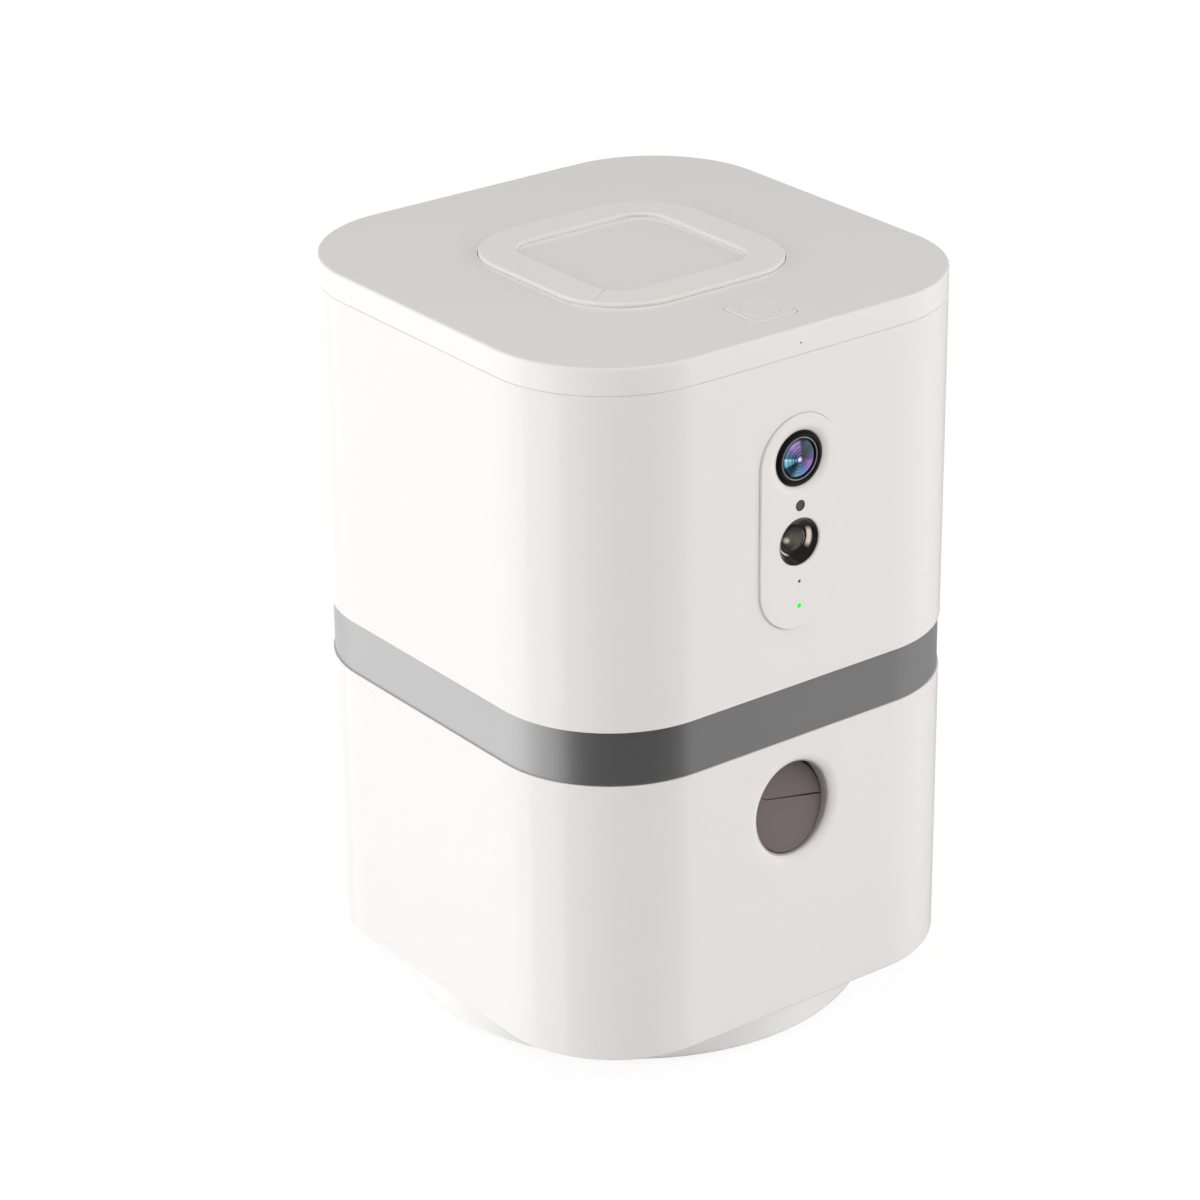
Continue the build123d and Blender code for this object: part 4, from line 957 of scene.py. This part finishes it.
def makeTube():
    settings = {"radius": 18.0 * mm, "end": -29.5 * mm, "liner": cylinder(16.5 * mm, -67.0 * mm, -31.0 * mm),
                "collarEnd": -66.0 * mm, "slot": (4.5 * mm, 15.0 * mm, 0.0, 58.4 * mm, 66.4 * mm),
                "slotY": -59.0 * mm, "notch": (6.0 * mm, 4.0 * mm, 0.0, 86.4 * mm, 98.4 * mm),
                "notchY": -70.0 * mm, "drop": cylinder(9.2 * mm, 84.0 * mm, 100.0 * mm), "dropY": -57.0 * mm,
                "dropMiddle": 88.0 * mm, "dropSlope": 36.0 / 38.0, "noseWall": 0.38 * mm}
    z, bore, depth = outlet["z"], outlet["halfHeight"], front + outlet["depth"]
    inner = front + housing["wall"]
    outer = bore + settings["noseWall"]
    nose = turned([(bore, depth + 0.1 * mm), (bore + 0.1 * mm, depth), (outer, depth), (outer, inner),
                   (bore, inner)], z)
    nose = squash(nose, z, outlet["halfWidth"], bore)
    finish(nose, "outletCollar", "housing", collarGrey)
    tube = turned(cylinder(settings["radius"], inner, settings["end"]), z)
    collar = turned(cylinder(bore, inner - 3 * mm, settings["collarEnd"]), z)
    collar = squash(collar, z, outlet["halfWidth"], bore)
    liner = turned(settings["liner"], z)
    slot = block(*settings["slot"], centre=(0.0, settings["slotY"]))
    notch = block(*settings["notch"], centre=(0.0, settings["notchY"]))
    drop = upright(settings["drop"], 32, (0.0, settings["dropY"]))
    for v in drop.verts:
        v.co.y += (v.co.z - settings["dropMiddle"]) * settings["dropSlope"]
    tube = carve(tube, [collar, liner, slot, notch, drop])
    finish(tube, "launchTube", "housing", collarGrey, ["launch_tube"])


makePaddle()
makeFlap()
makeTube()
print("treat outlet done")


# lights, floor and camera

studio = {
    "ambient": 0.51,
    "tint": (1.0, 0.995, 0.985),
    "above": 0.24,           # what upward reflections see
    "boards": [(-180.0, -130.0, 0.59), (-130.0, -74.0, 1.58), (-74.0, -23.5, 2.2), (-23.5, 10.0, 1.25),
               (10.0, 121.8, 0.04), (121.8, 180.0, 0.66)],
    "lamps": [
        {"name": "leftSoftbox", "azimuth": -20.0, "elevation": 12.0, "power": 18.1},
        {"name": "frontSoftbox", "azimuth": 125.0, "elevation": 12.0, "power": 4.6},
        {"name": "rightSoftbox", "azimuth": 150.0, "elevation": 12.0, "power": 15.1},
        {"name": "highLeftSoftbox", "azimuth": 0.0, "elevation": 60.0, "power": 5.8},
        {"name": "highFrontSoftbox", "azimuth": 90.0, "elevation": 60.0, "power": 4.2},
    ],
    "lampSize": 1.2,
    "lampDistance": 2.0,
    "target": (0, 0, 0.12),
    "floorSize": 6.0,
    "floorGlow": 1.08,
    "floorShare": 0.82,      # how much of the floor's look is its own glow
}


def mixShaders(tree, factor, a, b):
    return feed(tree, tree.nodes.new("ShaderNodeMixShader"), {0: factor, 1: a, 2: b}).outputs[0]


def straightRays(tree):
    # rays that come from the camera, also through clear pieces
    rays = tree.nodes.new("ShaderNodeLightPath").outputs
    return calc(tree, "MAXIMUM", rays["Is Camera Ray"], rays["Is Transmission Ray"])


def background(tree, colour, strength):
    return feed(tree, tree.nodes.new("ShaderNodeBackground"), {"Color": colour, "Strength": strength}).outputs[0]


def makeWorld():
    # soft light for the surfaces, boards for the reflections, and plain white behind the object
    world = bpy.data.worlds.new("studio")
    scene.world = world
    world.use_nodes = True
    tree = world.node_tree
    tree.nodes.clear()
    direction = feed(tree, tree.nodes.new("ShaderNodeSeparateXYZ"),
                     {0: tree.nodes.new("ShaderNodeTexCoord").outputs["Generated"]}).outputs
    west = calc(tree, "MULTIPLY", direction["X"], -1.0)
    south = calc(tree, "MULTIPLY", direction["Y"], -1.0)
    azimuth = calc(tree, "ARCTAN2", south, west)
    below = calc(tree, "LESS_THAN", direction["Z"], 0.0)
    total = calc(tree, "MULTIPLY", calc(tree, "SUBTRACT", 1.0, below), studio["above"])
    for begin, end, level in studio["boards"]:
        inside = calc(tree, "MULTIPLY", calc(tree, "GREATER_THAN", azimuth, math.radians(begin)),
                      calc(tree, "LESS_THAN", azimuth, math.radians(end)))
        total = calc(tree, "ADD", calc(tree, "MULTIPLY", calc(tree, "MULTIPLY", inside, below), level), total)
    soft = background(tree, (*studio["tint"], 1), studio["ambient"])
    boards = background(tree, (0.8, 0.8, 0.8, 1), total)
    plain = background(tree, (1, 1, 1, 1), 1.0)
    glossy = tree.nodes.new("ShaderNodeLightPath").outputs["Is Glossy Ray"]
    look = mixShaders(tree, straightRays(tree), mixShaders(tree, glossy, soft, boards), plain)
    feed(tree, tree.nodes.new("ShaderNodeOutputWorld"), {"Surface": look})


def makeLamps():
    for box in studio["lamps"]:
        light = bpy.data.lights.new(box["name"], "AREA")
        light.shape = "SQUARE"
        light.size = studio["lampSize"]
        light.energy = box["power"]
        holder = bpy.data.objects.new(box["name"], light)
        scene.collection.objects.link(holder)
        around = math.radians(box["azimuth"])
        rise = math.radians(box["elevation"])
        away = Vector((-math.cos(around) * math.cos(rise), -math.sin(around) * math.cos(rise), math.sin(rise)))
        holder.location = Vector(studio["target"]) + away * studio["lampDistance"]
        holder.rotation_euler = away.to_track_quat("Z", "Y").to_euler()
        holder.visible_glossy = False


def makeFloor():
    bm = bmesh.new()
    bmesh.ops.create_grid(bm, x_segments=1, y_segments=1, size=studio["floorSize"])
    floor = toObject(bm, "floor")
    material, tree, shader = newMaterial("paleFloor")
    grain = noise(tree, objectCoords(tree), 40.0, 3.0)
    pale = mixColour(tree, grain, (0.86, 0.86, 0.86, 1), (0.88, 0.88, 0.88, 1))
    feed(tree, shader, {"Base Color": pale, "Roughness": 0.9, "Specular IOR Level": 0.0})
    glow = feed(tree, tree.nodes.new("ShaderNodeEmission"), {"Strength": studio["floorGlow"]})
    share = calc(tree, "MULTIPLY", straightRays(tree), studio["floorShare"])
    look = mixShaders(tree, share, shader.outputs[0], glow.outputs[0])
    feed(tree, tree.nodes["Material Output"], {"Surface": look})
    floor.data.materials.append(material)
    floor.visible_glossy = False


view = {
    "azimuth": -37.020,
    "elevation": 24.564,
    "roll": -0.620,
    "focal": 3950.4,         # in pixels
    "frame": 1200.0,         # width of the frame in pixels
    "sensor": 36.0,
    "place": (-0.6510, -0.8467, 0.6059),
}


def makeCamera():
    a = math.radians(view["azimuth"])
    e = math.radians(view["elevation"])
    r = math.radians(view["roll"])
    back = Vector((math.sin(a) * math.cos(e), -math.cos(a) * math.cos(e), math.sin(e)))
    level = Vector((math.cos(a), math.sin(a), 0))
    rise = level.cross(-back)
    right = math.cos(r) * level + math.sin(r) * rise
    up = -math.sin(r) * level + math.cos(r) * rise
    lensData = bpy.data.cameras.new("camera")
    lensData.sensor_width = view["sensor"]
    lensData.lens = view["sensor"] * view["focal"] / view["frame"]
    lensData.clip_start = 0.01
    holder = bpy.data.objects.new("camera", lensData)
    turn = Matrix((right, up, back)).transposed().to_4x4()
    holder.matrix_world = Matrix.Translation(Vector(view["place"])) @ turn
    scene.collection.objects.link(holder)
    scene.camera = holder


makeWorld()
makeLamps()
makeFloor()
makeCamera()
scene.view_settings.view_transform = "Standard"
print("studio done")
